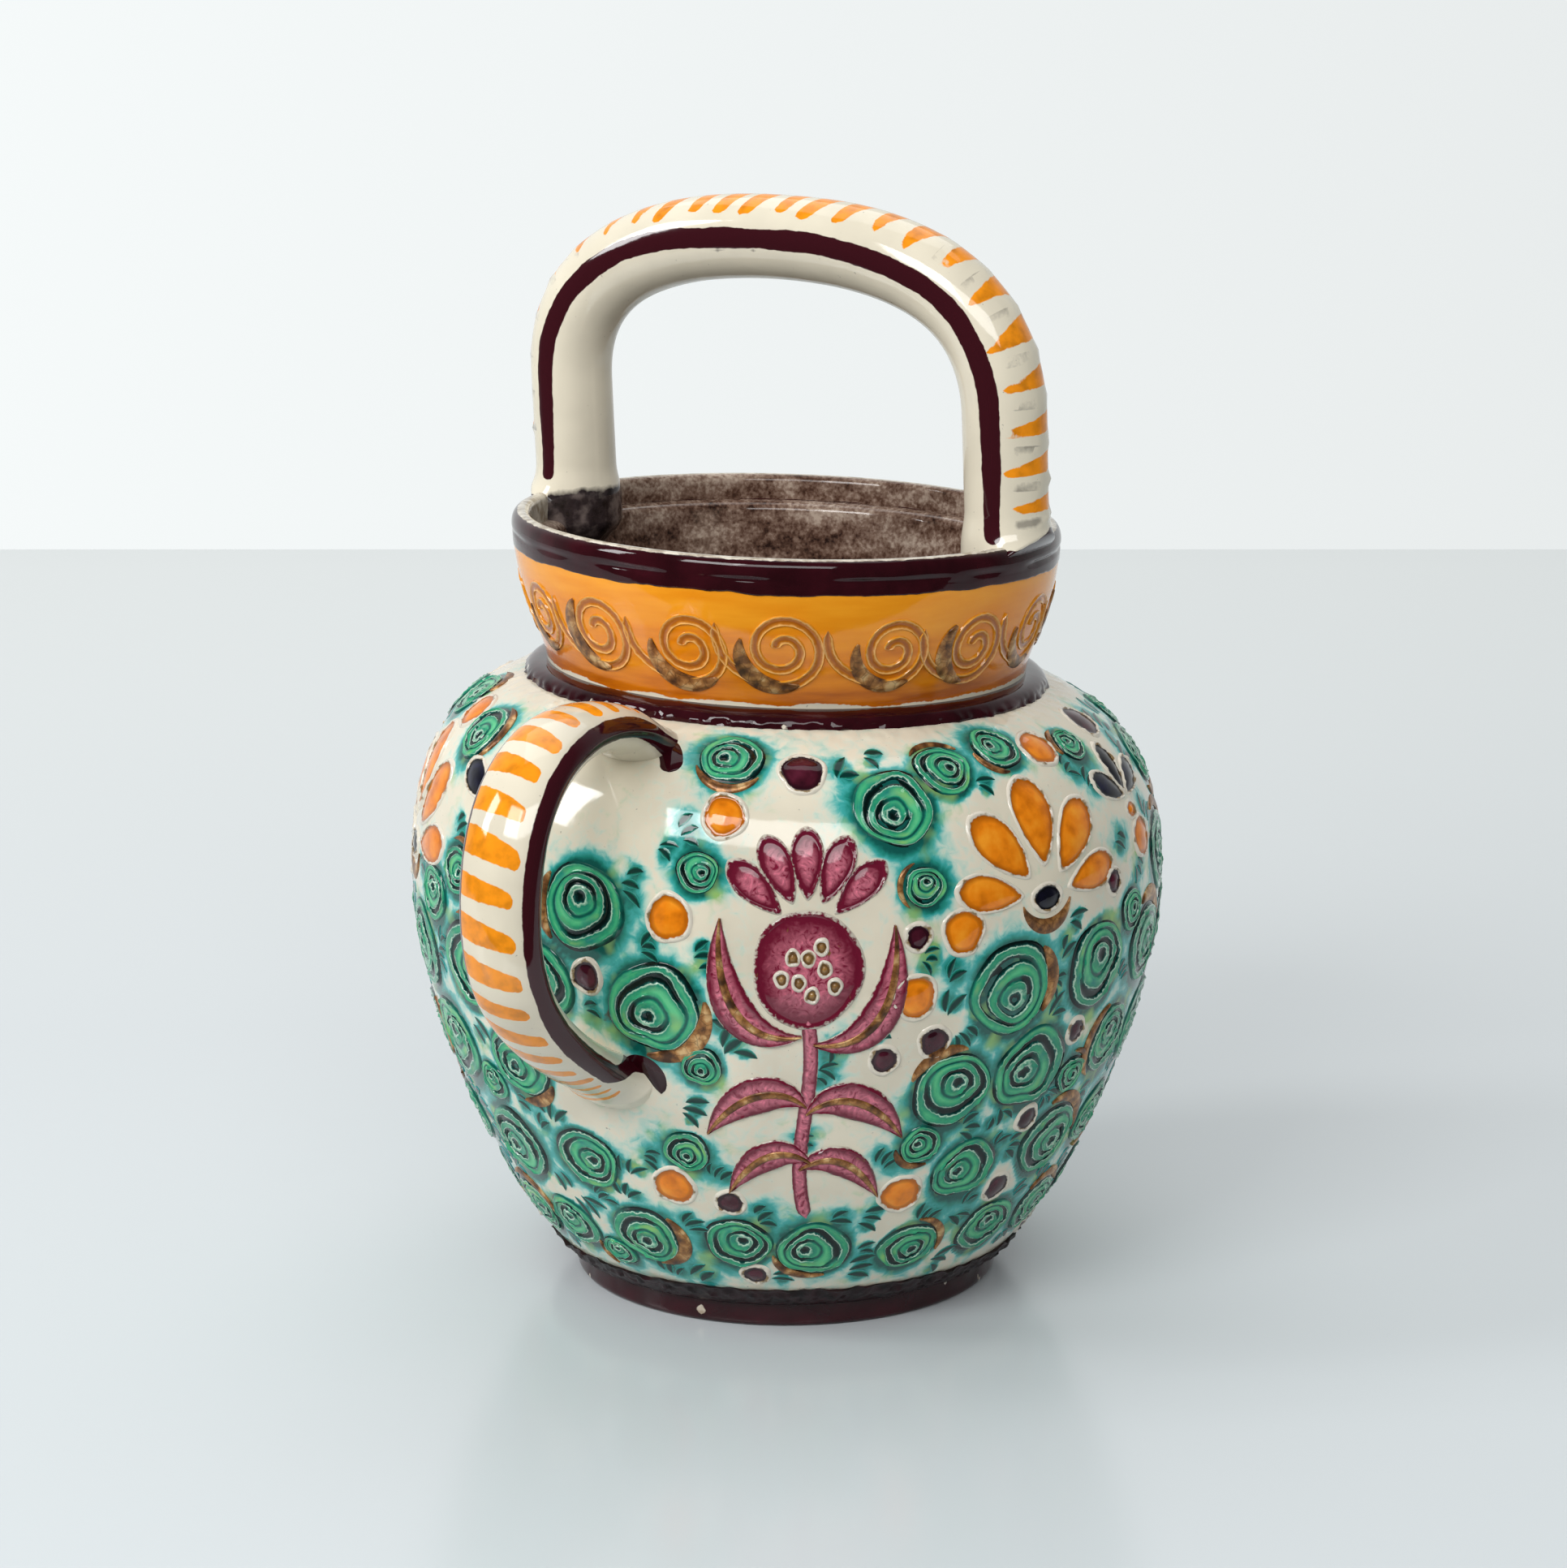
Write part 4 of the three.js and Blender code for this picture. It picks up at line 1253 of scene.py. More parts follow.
class JUG_OT_ring(bpy.types.Operator):
    """Turns the ring in the corner between shoulder and collar"""

    bl_idname = "jug.ring"
    bl_label = "Shoulder ring"

    # How far the ring reaches into the collar and the shoulder, and how far its lower edge is dragged
    LAP, SINK, TEETH = 0.4, 0.3, 0.65

    def execute(self, context):
        inner, seat = COLLAR_FOOT[0] - self.LAP, SHOULDER[1] - self.SINK
        slope = arc((SHOULDER[0], seat), (SHOULDER[0], RING_TOP), (inner, RING_TOP), 14)
        obj = turn(np.vstack([[(inner, seat)], slope, [(inner, seat)]]), NECK_COLUMNS)
        points = coords(obj)
        low = 1 - smooth(points[:, Z], seat + 0.6, seat + 2.4)
        swell(points, ripple(points, 1.6, seed=6) * self.TEETH * low * (points[:, Z] < RING_TOP - 0.1))
        mark(obj, worn=np.where(low > 0.2, ripple(points, 2.4, seed=7) * 2 - 1.1, OUTSIDE), inside=OUTSIDE)
        move(obj, settle(*points.T))
        finish(obj, "glazed_ring", aubergine_glaze(), "aubergine_glaze", "shoulder_ring")
        return {"FINISHED"}


class JUG_OT_collar(bpy.types.Operator):
    """Turns the flared collar with the lid ledge inside its top"""

    bl_idname = "jug.collar"
    bl_label = "Collar"

    def execute(self, context):
        seat = SHOULDER[1] + 0.2
        ledge_low = (LEDGE_INNER, COLLAR_TOP[1] - LEDGE_DROP)
        ledge = arc((RIM_INNER, COLLAR_TOP[1]), (LEDGE_INNER, COLLAR_TOP[1]), ledge_low, 8)
        bore = np.linspace(ledge_low, (NECK_BORE, seat), 16)[1:]
        profile = np.vstack([[(NECK_BORE, seat), (COLLAR_FOOT[0], seat)], COLLAR.even(56), ledge, bore])
        obj = turn(profile, NECK_COLUMNS)
        points = coords(obj)
        run = marked(obj, "run") - (COLLAR_FOOT[0] - NECK_BORE + RING_TOP - seat)
        out = (run > -1) & (run < COLLAR.full + 0.2)
        level = points[:, Z]
        swell(points, np.where(out, ripple(points, 20, seed=8) * 0.1, 0))
        mark(
            obj,
            level=level,
            line=np.where(out, COLLAR_LINE - level + 0.7 * ripple(points, 9, seed=23), OUTSIDE),
            inside=np.where(out, OUTSIDE, np.where(run < 0, COLLAR.full, run - COLLAR.full - 0.3)),
        )
        move(obj, settle(*points.T))
        finish(obj, "glazed_collar", amber_glaze(), "amber_glaze", "collar")
        return {"FINISHED"}


class JUG_OT_scroll(bpy.types.Operator):
    """Scratches the running scroll round the collar and lays worn gold in it"""

    bl_idname = "jug.scroll"
    bl_label = "Collar scroll"

    HEIGHT, LINE_WIDTH = 126.0, 2.2

    def execute(self, context):
        rng = random.Random(SEED + 2)
        count = sizes().scroll_count
        radius = sizes().scroll_radius / MM
        middle = COLLAR.run(self.HEIGHT)
        pitch = 2 * math.pi * float(COLLAR.radius(middle)) / count
        lines, lustre = [], []
        for k in range(count):
            bearing = 2 * math.pi * (k + 0.3 + rng.uniform(-0.07, 0.07)) / count
            size = radius * rng.uniform(0.84, 1.06)
            run = middle + rng.uniform(-0.8, 0.8)
            lines.append(Stroke(bearing, run, self.spiral(size, pitch), brush(self.LINE_WIDTH, 0.02)))
            start = math.pi * rng.uniform(0.72, 1.0)
            spine = bow(size * 1.02, start, start + rng.uniform(2.0, 3.0))
            lustre.append(Stroke(bearing, run, spine, lens(rng.uniform(2.4, 3.8), 0.55), 0, 0.2))
        obj = strokes(COLLAR, lines, 90, 8, self.scratch)
        finish(obj, "collar_scroll", scratched_amber(), "amber_glaze")
        obj = strokes(COLLAR, lustre, 24, 6, dome(0.2, grain=0.06))
        finish(obj, "collar_lustre", gold_lustre(), "amber_glaze")
        return {"FINISHED"}

    @staticmethod
    def scratch(across, rough):
        """A groove between two ragged burrs, running out level with the wall."""
        return 0.03 + (0.28 + 0.2 * rough) * hump(across, 0.68, 0.2) - 0.2 * (across > 0.98)

    @staticmethod
    def spiral(size, pitch):
        """A spine that uncurls from a spiral's middle and rises beside the spiral before it."""
        turns, end_angle, share = 1.75, math.radians(-70), 0.82
        leave = np.array([size * math.cos(end_angle), size * math.sin(end_angle)])
        ahead = leave + 0.6 * size * np.array([-math.sin(end_angle), math.cos(end_angle)])
        join = (pitch - size * 0.92, size * 0.62)
        tail = path(leave, ahead, (join[0], -size * 0.5), join)

        def spine(along):
            wound = np.clip(along / share, 0, 1)
            angle = end_angle - (1 - wound) * turns * 2 * math.pi
            reach = size * (0.16 + 0.84 * wound ** 0.9)
            onward = tail(np.clip((along - share) / (1 - share), 0, 1))
            curl = reach * np.cos(angle), reach * np.sin(angle)
            across, up = (np.where(along > share, far, near) for far, near in zip(onward, curl))
            return -across, up

        return spine


class JUG_OT_rim(bpy.types.Operator):
    """Turns the rolled rim, worn along its lip, with its glaze drawn down over the collar's top"""

    bl_idname = "jug.rim"
    bl_label = "Rim"

    # Where the left leg's clay was smoothed over the rim's inside, and how wide
    CLEAN_BEARING, CLEAN_WIDTH = math.radians(-165), math.radians(11)

    def execute(self, context):
        middle, crest = (RIM_SEAT + LIP_HEIGHT) / 2, (COLLAR_TOP[0] + RIM_INNER) / 2
        seat, bulge = COLLAR_TOP[1] - 0.1, COLLAR_TOP[0] + RIM_BULGE
        skirt = COLLAR.at(np.linspace(COLLAR.run(RIM_SKIRT), COLLAR.full, 8)) + (RIM_SKIN, 0)
        skirt[0, 0] -= 2 * RIM_SKIN
        foot, lip = (COLLAR_TOP[0] + RIM_SKIN, RIM_SEAT), (crest, LIP_HEIGHT)
        swung = bezier([foot, (bulge, middle), (bulge, LIP_HEIGHT), lip], 26)
        inside = arc(lip, (RIM_INNER, LIP_HEIGHT), (RIM_INNER, middle), 12)[1:]
        under = [(RIM_INNER, seat), (COLLAR_TOP[0] - 1, seat), (COLLAR_TOP[0] - 1, RIM_SKIRT + 0.3)]
        profile = np.vstack([under, skirt, swung, inside, [(RIM_INNER, seat + 0.2), (RIM_INNER, seat)]])
        obj = turn(profile, NECK_COLUMNS)
        points = coords(obj)
        lengths = Curve(profile).length
        run = marked(obj, "run")
        bearing = np.arctan2(points[:, Y], points[:, X])
        outer = (run > lengths[2]) & (points[:, Z] < RIM_SKIRT + 1.6)
        drawn = ripple(points, 7, seed=20) * 0.5 + ripple(points, 1.6, seed=21) * 0.15
        points[:, Z] += np.where(outer, drawn, 0)
        crest_run = lengths[len(under) + len(skirt) + len(swung) - 1]
        patchy = np.clip(0.5 + 1.2 * ripple(points, 9, seed=26), 0, 1)
        groove = hump(points[:, Z], RIM_SEAT + 0.9, 0.5) * patchy
        groove = np.where((run > lengths[2]) & (run < crest_run), groove, 0)
        swell(points, ripple(points, 16, seed=9) * 0.12 - 0.45 * groove)
        worn = 0.95 - np.abs(run - crest_run + 0.1) + 0.15 * np.sin(3 * bearing)
        shown = run > lengths[2] + 1
        clean = hump(bearing, self.CLEAN_BEARING, self.CLEAN_WIDTH) * (run > crest_run - 0.5)
        stain = run - crest_run - 0.6 - 20 * clean
        mark(obj, worn=np.where(shown, worn + 20 * clean, OUTSIDE), inside=np.where(shown, stain, OUTSIDE))
        move(obj, settle(*points.T))
        finish(obj, "glazed_rim", aubergine_glaze(), "aubergine_glaze", "rim_band")
        return {"FINISHED"}


# A brushed stroke across a handle: its place along it, half its width and the places round it of its ends
# The fine end starts at a share of the width, the stroke slants, and its tip lies to one side
Dab = namedtuple("Dab", "centre half fine blunt start tilt skew")


def dabs(along, side, strokes_across):
    """Depth inside the nearest of a row of brushed strokes, in millimetres."""
    depth = np.full(len(along), OUTSIDE)
    for number, dab in enumerate(strokes_across):
        sway = math.sin(number * 2.3)
        share = (side - dab.fine * (1 + 0.07 * sway)) / (dab.blunt - dab.fine)
        taper = dab.start + (1 - dab.start) * np.clip(share * 1.5, 0, 1) ** 0.55
        ends = np.sqrt(np.clip(share / 0.06, 0, 1)) * np.sqrt(np.clip((1 - share) / 0.12, 0, 1))
        half = dab.half * (1 + 0.1 * sway)
        middle = dab.centre + dab.tilt * (1 + 0.2 * sway) * side + dab.skew * half * (1 - taper)
        inside = half * taper * ends - np.abs(along - middle)
        depth = np.maximum(depth, np.where((share > 0) & (share < 1), inside, OUTSIDE))
    return depth


class JUG_OT_basket_handle(bpy.types.Operator):
    """Bends the basket handle and its two feet over the mouth"""

    bl_idname = "jug.basket_handle"
    bl_label = "Basket handle"

    CROWN = BASKET.full / 2
    # Where the aubergine line runs round the section, at the left foot, the crown and the right foot
    LINE_ANGLES = (75, 87, 83)
    LINE_ENDS = (BASKET_FOOT - 1.4, BASKET.full - BASKET_FOOT + 3.4)
    RINGS, FOOT_RINGS = 480, 60
    # Distances from the crown between which the arch passes into its legs
    LEG = (15, 55)
    # How the strokes' spacing grows with the distance from the crown, and how far above a foot they stop
    STROKE_GROWTH, STROKE_STOP = 0.0032, 8
    # Grey scratches, partly grime and partly painted shade, and ridges between the strokes: half their
    # width, and where round the rod they begin and end
    NOTCH_HALF, NOTCH_START, NOTCH_END = 0.75, (-7.6, -6.2), (-3.0, -0.6)
    RIDGE_HALF, RIDGE_START, RIDGE_END = 0.9, (-5.0, -2.5), (4.5, 6.5)

    def execute(self, context):
        full = BASKET.full
        arch, left, right = (BASKET_FOOT, full - BASKET_FOOT), (0, BASKET_FOOT), (full - BASKET_FOOT, full)
        self.piece("glazed_basket_handle", self.RINGS, arch, 0, "basket_handle")
        self.piece("basket_foot_left", self.FOOT_RINGS, left, -1, "basket_handle_pad_left")
        self.piece("basket_foot_right", self.FOOT_RINGS, right, 1, "basket_handle_pad_right")
        return {"FINISHED"}

    def rhythm(self):
        """The strokes over the arch: blunt at the crown, longer, pointed and wider apart down the legs."""
        spacing = sizes().basket_stroke / MM
        places, away = [0.0], 0.0
        while away < self.CROWN - BASKET_FOOT - self.STROKE_STOP:
            away += spacing * (1 + self.STROKE_GROWTH * away)
            places += [-away, away]
        for away in sorted(places):
            leg = float(smooth(abs(away), *self.LEG))
            slant = 0.4 - 0.54 * float(smooth(away, 10, 55))
            start = 0.6 - 0.54 * float(smooth(abs(away), 8, 32))
            fine = -7.2 - math.copysign(1.9, away) * leg
            yield Dab(self.CROWN + away, 1.8 - 0.2 * leg, fine, 6.6, start, slant, 0.3 * leg)

    def piece(self, name, rings, span, foot, node):
        """One stretch of the handle, with its ridges, strokes and lines."""
        obj, around, share = straight_rod(HANDLE_SIDES, rings)
        along = span[0] + share * (span[1] - span[0])
        side = BASKET.girth(around)
        rough = np.column_stack([along, side, np.zeros_like(along)])
        strokes_across = list(self.rhythm())
        centres = np.array([dab.centre for dab in strokes_across])
        between = np.append(centres[1:] + centres[:-1], 2 * centres[-1] + sizes().basket_stroke / MM) / 2
        off = np.abs(along[:, None] - between[None] + 0.12 * side[:, None]).min(axis=1)
        leg = smooth(np.abs(along - self.CROWN), *self.LEG)
        strength = np.clip(0.1 + 0.65 * leg + 0.5 * ripple(rough, 16, seed=10), 0, 1)
        notch = strength * hump(off, 0, self.NOTCH_HALF) * smooth(side, *self.NOTCH_START)
        notch = notch * (1 - smooth(side, *self.NOTCH_END))
        ridge = strength * hump(off, 0, self.RIDGE_HALF) * smooth(side, *self.RIDGE_START)
        ridge = ridge * (1 - smooth(side, *self.RIDGE_END))
        broken = 0.35 + 0.5 * ripple(rough, 1.6, seed=12)
        lift = ripple(rough, 14, seed=11) * 0.15 - 0.04 * notch + ridge * broken
        reach, aside, height = BASKET.place(along, around, lift)
        turned = np.interp(along, (0, self.CROWN, BASKET.full), np.radians(self.LINE_ANGLES))
        off_line = np.abs(side) - BASKET.girth(turned)
        beside = off_line + 0.6 * ripple(rough, 22, seed=13) + 0.25 * ripple(rough, 6, seed=22)
        past = np.maximum(0, np.maximum(self.LINE_ENDS[0] - along, along - self.LINE_ENDS[1]))
        to_end = np.minimum(along - self.LINE_ENDS[0], self.LINE_ENDS[1] - along)
        line = sizes().basket_line / MM / 2 * (0.8 + 0.2 * smooth(to_end, 0, 14)) - np.hypot(beside, past)
        under_line = np.abs(off_line - 2.4) + 2 * (1 - hump(along, self.CROWN + 2, 20))
        grime = 2.6 * ripple(rough, 2.0, seed=24) - 0.3 - 1.3 * under_line
        band = np.full(len(along), OUTSIDE)
        if foot:
            reach, aside, height, grime, band = self.foot(foot, reach, aside, height)
        # Painted shade: the notches are painted grey, partly grime and partly the shade beside the ridges.
        scratch = np.where(notch > 0.02, notch * 2.0 - 0.8, OUTSIDE)
        stroke = dabs(along, side, strokes_across)
        mark(obj, stroke=stroke, line=line, scratch=scratch, grime=grime, band=band)
        move(obj, settle(reach, aside, height))
        finish(obj, name, striped_glaze(), "cream_glaze", node)

    @staticmethod
    def foot(side, reach, aside, height):
        """The foot of a leg: flared on the ledge, lapped over the rim outside and drawn in below the ledge.

        It is grimy at the ledge, and the rim's aubergine runs up it on the outside.
        """
        middle = side * LEG_RADIUS
        outward = side * (reach - middle) / (BASKET_THICKNESS / 2)
        spread = smooth(outward, -0.3, 0.8) * (1 - smooth(height, LIP_HEIGHT - 4, LIP_HEIGHT + 4)) ** 2
        flare = 1 + 0.1 * (1 - smooth(height, LIP_HEIGHT - 1, PAD_TOP)) + 0.5 * spread
        corbel = CORBEL_FOOT / (BASKET_THICKNESS / 2)
        draw = corbel + (1 - corbel) * smooth(height, CORBEL_BOTTOM, COLLAR_TOP[1])
        reach = middle + (reach - middle) * flare * draw
        aside = aside * flare * draw
        out = np.hypot(reach, aside)
        limit = COLLAR_TOP[0] + RIM_BULGE - 1.2 + 4.1 * smooth(height, LIP_HEIGHT - 3.4, LIP_HEIGHT + 3)
        behind_collar = np.interp(height, *COLLAR.points.T[::-1]) - 0.9
        limit = np.where(height < COLLAR_TOP[1], behind_collar, limit)
        pull = np.minimum(1, limit / np.maximum(out, 1e-6))
        climb = 3.4 * np.clip((aside + 7.6) / 8.8, 0, 1) if side > 0 else 0.0
        painted = np.minimum(LIP_HEIGHT - 0.5 + climb - height, 1.2 * (out - RIM_INNER - 1.2))
        soiled = -4.0 if side > 0 else 0.2 - 1.2 * outward
        grime = np.where(out < RIM_INNER + 0.5, LIP_HEIGHT + soiled - height, OUTSIDE)
        return reach * pull, aside * pull, height, grime, painted


class JUG_OT_side_handle(bpy.types.Operator):
    """Bends the loop handle and spreads its two ends onto the body"""

    bl_idname = "jug.side_handle"
    bl_label = "Loop handle"

    # Where the aubergine line runs round the section, and how far it turns inwards at its ends
    LINE_ANGLE, LINE_TOP_TURN, LINE_TAIL_TURN = (math.radians(angle) for angle in (75, 20, 54))
    # Where the line leaves the loop for the body
    LINE_ENDS = (LOOP_SUNK - 2, LOOP.full - LOOP_SUNK + 2)
    RINGS, ROOT_RINGS = 210, 36
    # How far the upper end is pressed into the shoulder
    TONGUE_SINK = 2.6

    def execute(self, context):
        full = LOOP.full
        self.piece("glazed_loop_handle", self.RINGS, (LOOP_FOOT, full - LOOP_FOOT), "side_handle")
        self.piece("loop_root_upper", self.ROOT_RINGS, (0, LOOP_FOOT), "side_handle_upper_pad")
        self.piece("loop_root_lower", self.ROOT_RINGS, (full - LOOP_FOOT, full), "side_handle_lower_pad")
        return {"FINISHED"}

    def piece(self, name, rings, span, node):
        """One stretch of the loop, spread where it meets the body."""
        obj, around, share = straight_rod(HANDLE_SIDES, rings)
        along = span[0] + share * (span[1] - span[0])
        side = LOOP.girth(around)
        rough = np.column_stack([along, side, np.zeros_like(along)])
        from_wall = np.clip(np.minimum(along, LOOP.full - along) - LOOP_SUNK, -1.0, LOOP_PAD)
        flare = (np.exp(-from_wall / 2.0) - math.exp(-LOOP_PAD / 2.0)) * (1.1 - 0.9 * np.cos(around))
        stroke = dabs(along, side, self.rhythm())
        reach, aside, height = LOOP.place(along, around, ripple(rough, 12, seed=15) * 0.12 + flare)
        height = height - self.TONGUE_SINK * (1 - smooth(along, 0, LOOP_FOOT))
        turned = self.LINE_ANGLE + self.LINE_TOP_TURN * (1 - smooth(along - LOOP_SUNK, 1, 14))
        turned = turned + self.LINE_TAIL_TURN * (1 - smooth(LOOP.full - LOOP_SUNK - along, 2, 10))
        beside = np.abs(side) - LOOP.girth(turned) + 0.3 * ripple(rough, 14, seed=16)
        past = np.maximum(0, np.maximum(self.LINE_ENDS[0] - along, along - self.LINE_ENDS[1]))
        line = sizes().loop_line / MM / 2 - np.hypot(beside, past)
        mark(obj, stroke=stroke, line=line, scratch=OUTSIDE, grime=OUTSIDE, band=OUTSIDE)
        move(obj, settle(aside, -reach, height))
        finish(obj, name, striped_glaze(), "cream_glaze", node)

    @staticmethod
    def rhythm():
        """The strokes round the loop: closer, thinner and more slanting towards its ends."""
        spacing = sizes().loop_stroke / MM
        at = LOOP_FOOT - 4.5
        while at < LOOP.full - LOOP_SUNK - 1:
            near_top = 1 - float(smooth(at - LOOP_FOOT, -4, 12))
            near_tail = 1 - float(smooth(LOOP.full - LOOP_FOOT - at, -4, 14))
            thin = max(near_top, near_tail)
            slant = 0.14 + 0.3 * near_top - 0.5 * near_tail
            yield Dab(at, 1.9 - 1.2 * thin, 5.2 + near_tail, -9.2, 0.55, slant, 0.8 * (1 - thin))
            at += spacing * (1 - 0.5 * thin)


class JUG_OT_roundels(bpy.types.Operator):
    """Cuts the green roundels into the body"""

    bl_idname = "jug.roundels"
    bl_label = "Green roundels"

    # The largest radius of a small roundel, and how many sides the large and the small ones have
    SMALL, LARGE_SIDES, SMALL_SIDES = 6.0, 44, 30
    LEAN = 0.28
    # Where the grooves lie, as shares of the radius, the mesh's rings beside them and those between them
    GROOVES = (0.38, 0.7, 1.0)
    BESIDE = (-0.1, -0.065, -0.035, 0, 0.035, 0.065, 0.1)
    PLAIN_RINGS = (0.06, 0.13, 0.2, 0.54, 0.85, 1.05)
    PUPIL = 0.15

    def execute(self, context):
        large = [roundel for roundel in layout()[0] if roundel.radius > self.SMALL]
        small = [roundel for roundel in layout()[0] if roundel.radius <= self.SMALL]
        self.piece("green_roundels", large, self.LARGE_SIDES)
        self.piece("small_roundels", small, self.SMALL_SIDES)
        return {"FINISHED"}

    def piece(self, name, roundels, sides):
        """All roundels of a kind, in one mesh."""
        places = []
        for bearing, run, radius, phase in roundels:
            lean = (self.LEAN * radius * math.cos(phase), self.LEAN * radius * math.sin(phase))
            outline = oval(2 * radius, 2 * radius * (0.97 + 0.05 * math.sin(3 * phase)), 0.035, phase)
            places.append(Cell(bearing, run, outline, 0, lean))
        beside = [groove + step for groove in self.GROOVES for step in self.BESIDE if groove + step <= 1]
        obj, angle, ring, under = disc(sides, sorted([*self.PLAIN_RINGS, *beside], reverse=True))
        obj = lay(BODY, obj, places, lambda cell, number: self.rings(cell, number, angle, ring, under))
        finish(obj, name, copper_green(), "cream_glaze")

    def rings(self, cell, number, angle, ring, under):
        """Uneven eccentric rings of clay between cut grooves, deepest on one side, with broken burrs.

        The mesh keeps how far a point is from the nearest groove, in half widths of it, and its depth.
        """
        burr_height, ridge = sizes().burr / MM, sizes().ridge / MM
        x, y = cell.outline(angle)
        x, y = x * ring, y * ring
        uneven = 1 + 0.16 * ragged(x, y, number, 6.0) * (1 - smooth(ring, 0.8, 1.0))
        shrink = 1 - np.minimum(ring, 1)
        x, y = x * uneven + cell.lean[0] * shrink, y * uneven + cell.lean[1] * shrink
        rough, slow = ragged(x, y, number), ragged(x, y, number, 4.0)
        phase = math.atan2(cell.lean[1], cell.lean[0])
        cut, deep = ring / self.PUPIL, np.full_like(ring, 0.8)
        for k, groove in enumerate(self.GROOVES):
            swing = np.clip(0.5 + 0.5 * np.cos(angle - phase + 2.2 * k) + 0.45 * slow, 0, 1)
            away = np.abs(ring - groove) / (0.034 + 0.056 * swing)
            cut, deep = np.where(away < cut, (away, swing), (cut, deep))
        floor = 1 - smooth(cut, 0.6, 1.1)
        edge = hump(cut, 1.3, 0.3) * np.clip(0.4 + 1.2 * rough, 0, 1)
        lift = ridge * ((0.9 + 0.5 * slow) - 0.9 * floor * (0.35 + 0.65 * deep)) + burr_height * edge
        lift = np.where(ring > 1.02, -0.25, np.maximum(lift, 0.03))
        return x, y, np.where(under, -SUNK, lift), {"cut": cut, "deep": deep}


class JUG_OT_cuts(bpy.types.Operator):
    """Cuts the short green combed marks between the motifs"""

    bl_idname = "jug.cuts"
    bl_label = "Green cuts"

    def execute(self, context):
        obj = strokes(BODY, motifs()["cut"], 6, 3, self.relief)
        finish(obj, "green_cuts", cut_green(), "cream_glaze")
        return {"FINISHED"}

    @staticmethod
    def relief(across, rough):
        """A ragged burr along both sides of a cut."""
        return 0.06 + 0.2 * hump(across, 0.6, 0.25) * (1 + rough)


class JUG_OT_cells(bpy.types.Operator):
    """Fills the petals, fruit, seeds and dots with coloured glaze"""

    bl_idname = "jug.cells"
    bl_label = "Coloured cells"

    SIDES = 40

    def execute(self, context):
        fills = (
            ("orange", filled_glaze("iron_orange", "#C96A06", "#EC8410", "#F59B26"), "amber_glaze"),
            ("aubergine", filled_glaze("manganese", "#2A0814", "#41101F", "#561C2E"), "aubergine_glaze"),
            ("navy", filled_glaze("cobalt", "#04040C", "#0B0A1C", "#191938"), "aubergine_glaze"),
            ("crown", rose_glaze("crimson_pink", 0.74), "aubergine_glaze"),
            ("rose", rose_glaze("rose_pink", 0.68), "aubergine_glaze"),
            ("seed", filled_glaze("gold_seed", "#6A4824", "#98723E", "#B8945C"), "amber_glaze"),
        )
        for fill, material, slot in fills:
            finish(cells(BODY, motifs()[fill], self.SIDES), f"{fill}_cells", material, slot)
        return {"FINISHED"}


class JUG_OT_leaves(bpy.types.Operator):
    """Cuts the crimson leaves and stems of the sprigs"""

    bl_idname = "jug.leaves"
    bl_label = "Leaves and stems"

    def execute(self, context):
        obj = strokes(BODY, motifs()["leaf"], 26, 12, self.relief)
        finish(obj, "leaves", rose_glaze("leaf_pink", 0.72), "aubergine_glaze")
        obj = strokes(BODY, motifs()["stem"], 40, 6, self.relief)
        finish(obj, "stems", rose_glaze("stem_pink", 0.8), "aubergine_glaze")
        return {"FINISHED"}

    @staticmethod
    def relief(across, rough):
        """Pooled glaze between two ragged burrs."""
        burr = sizes().burr / MM * (0.7 + rough) * hump(across, 0.86, 0.1)
        return 0.3 * (1 - across ** 2) + 0.04 + burr


class JUG_OT_lustre(bpy.types.Operator):
    """Brushes worn gold beside the roundels and along the leaves"""

    bl_idname = "jug.lustre"
    bl_label = "Gold lustre"

    def execute(self, context):
        obj = strokes(BODY, motifs()["gold"], 20, 6, dome(0.24, 0.05, 0.05))
        finish(obj, "gold_lustre", gold_lustre(), "amber_glaze")
        return {"FINISHED"}


class JUG_OT_line_ends(bpy.types.Operator):
    """Runs the loop handle's aubergine lines out onto the body"""

    bl_idname = "jug.line_ends"
    bl_label = "Line ends"

    def execute(self, context):
        width = sizes().loop_line / MM
        places = []
        for side in (-1, 1):
            hook = path((6.0 * side, -1.6), (7.8 * side, -2.8), (9.3 * side, -4.8), (9.7 * side, -7.6))
            places.append(Stroke(LOOP_BEARING, BODY.run(LOOP_TOP_HEIGHT), hook, brush(width, 0.22)))
            tail = path((4.6 * side, 3.0), (7.8 * side, 4.4), (10.9 * side, 3.8), (10.8 * side, -1.9))
            places.append(Stroke(LOOP_BEARING, BODY.run(LOOP_TAIL_HEIGHT), tail, brush(width * 0.9, 0.3)))
        obj = strokes(BODY, places, 30, 8, dome(0.2, 0.06))
        mark(obj, worn=OUTSIDE, inside=OUTSIDE)
        finish(obj, "line_ends", aubergine_glaze(), "aubergine_glaze")
        return {"FINISHED"}


# Stage

Lamp = namedtuple("Lamp", "name bearing elevation distance width height radiance")


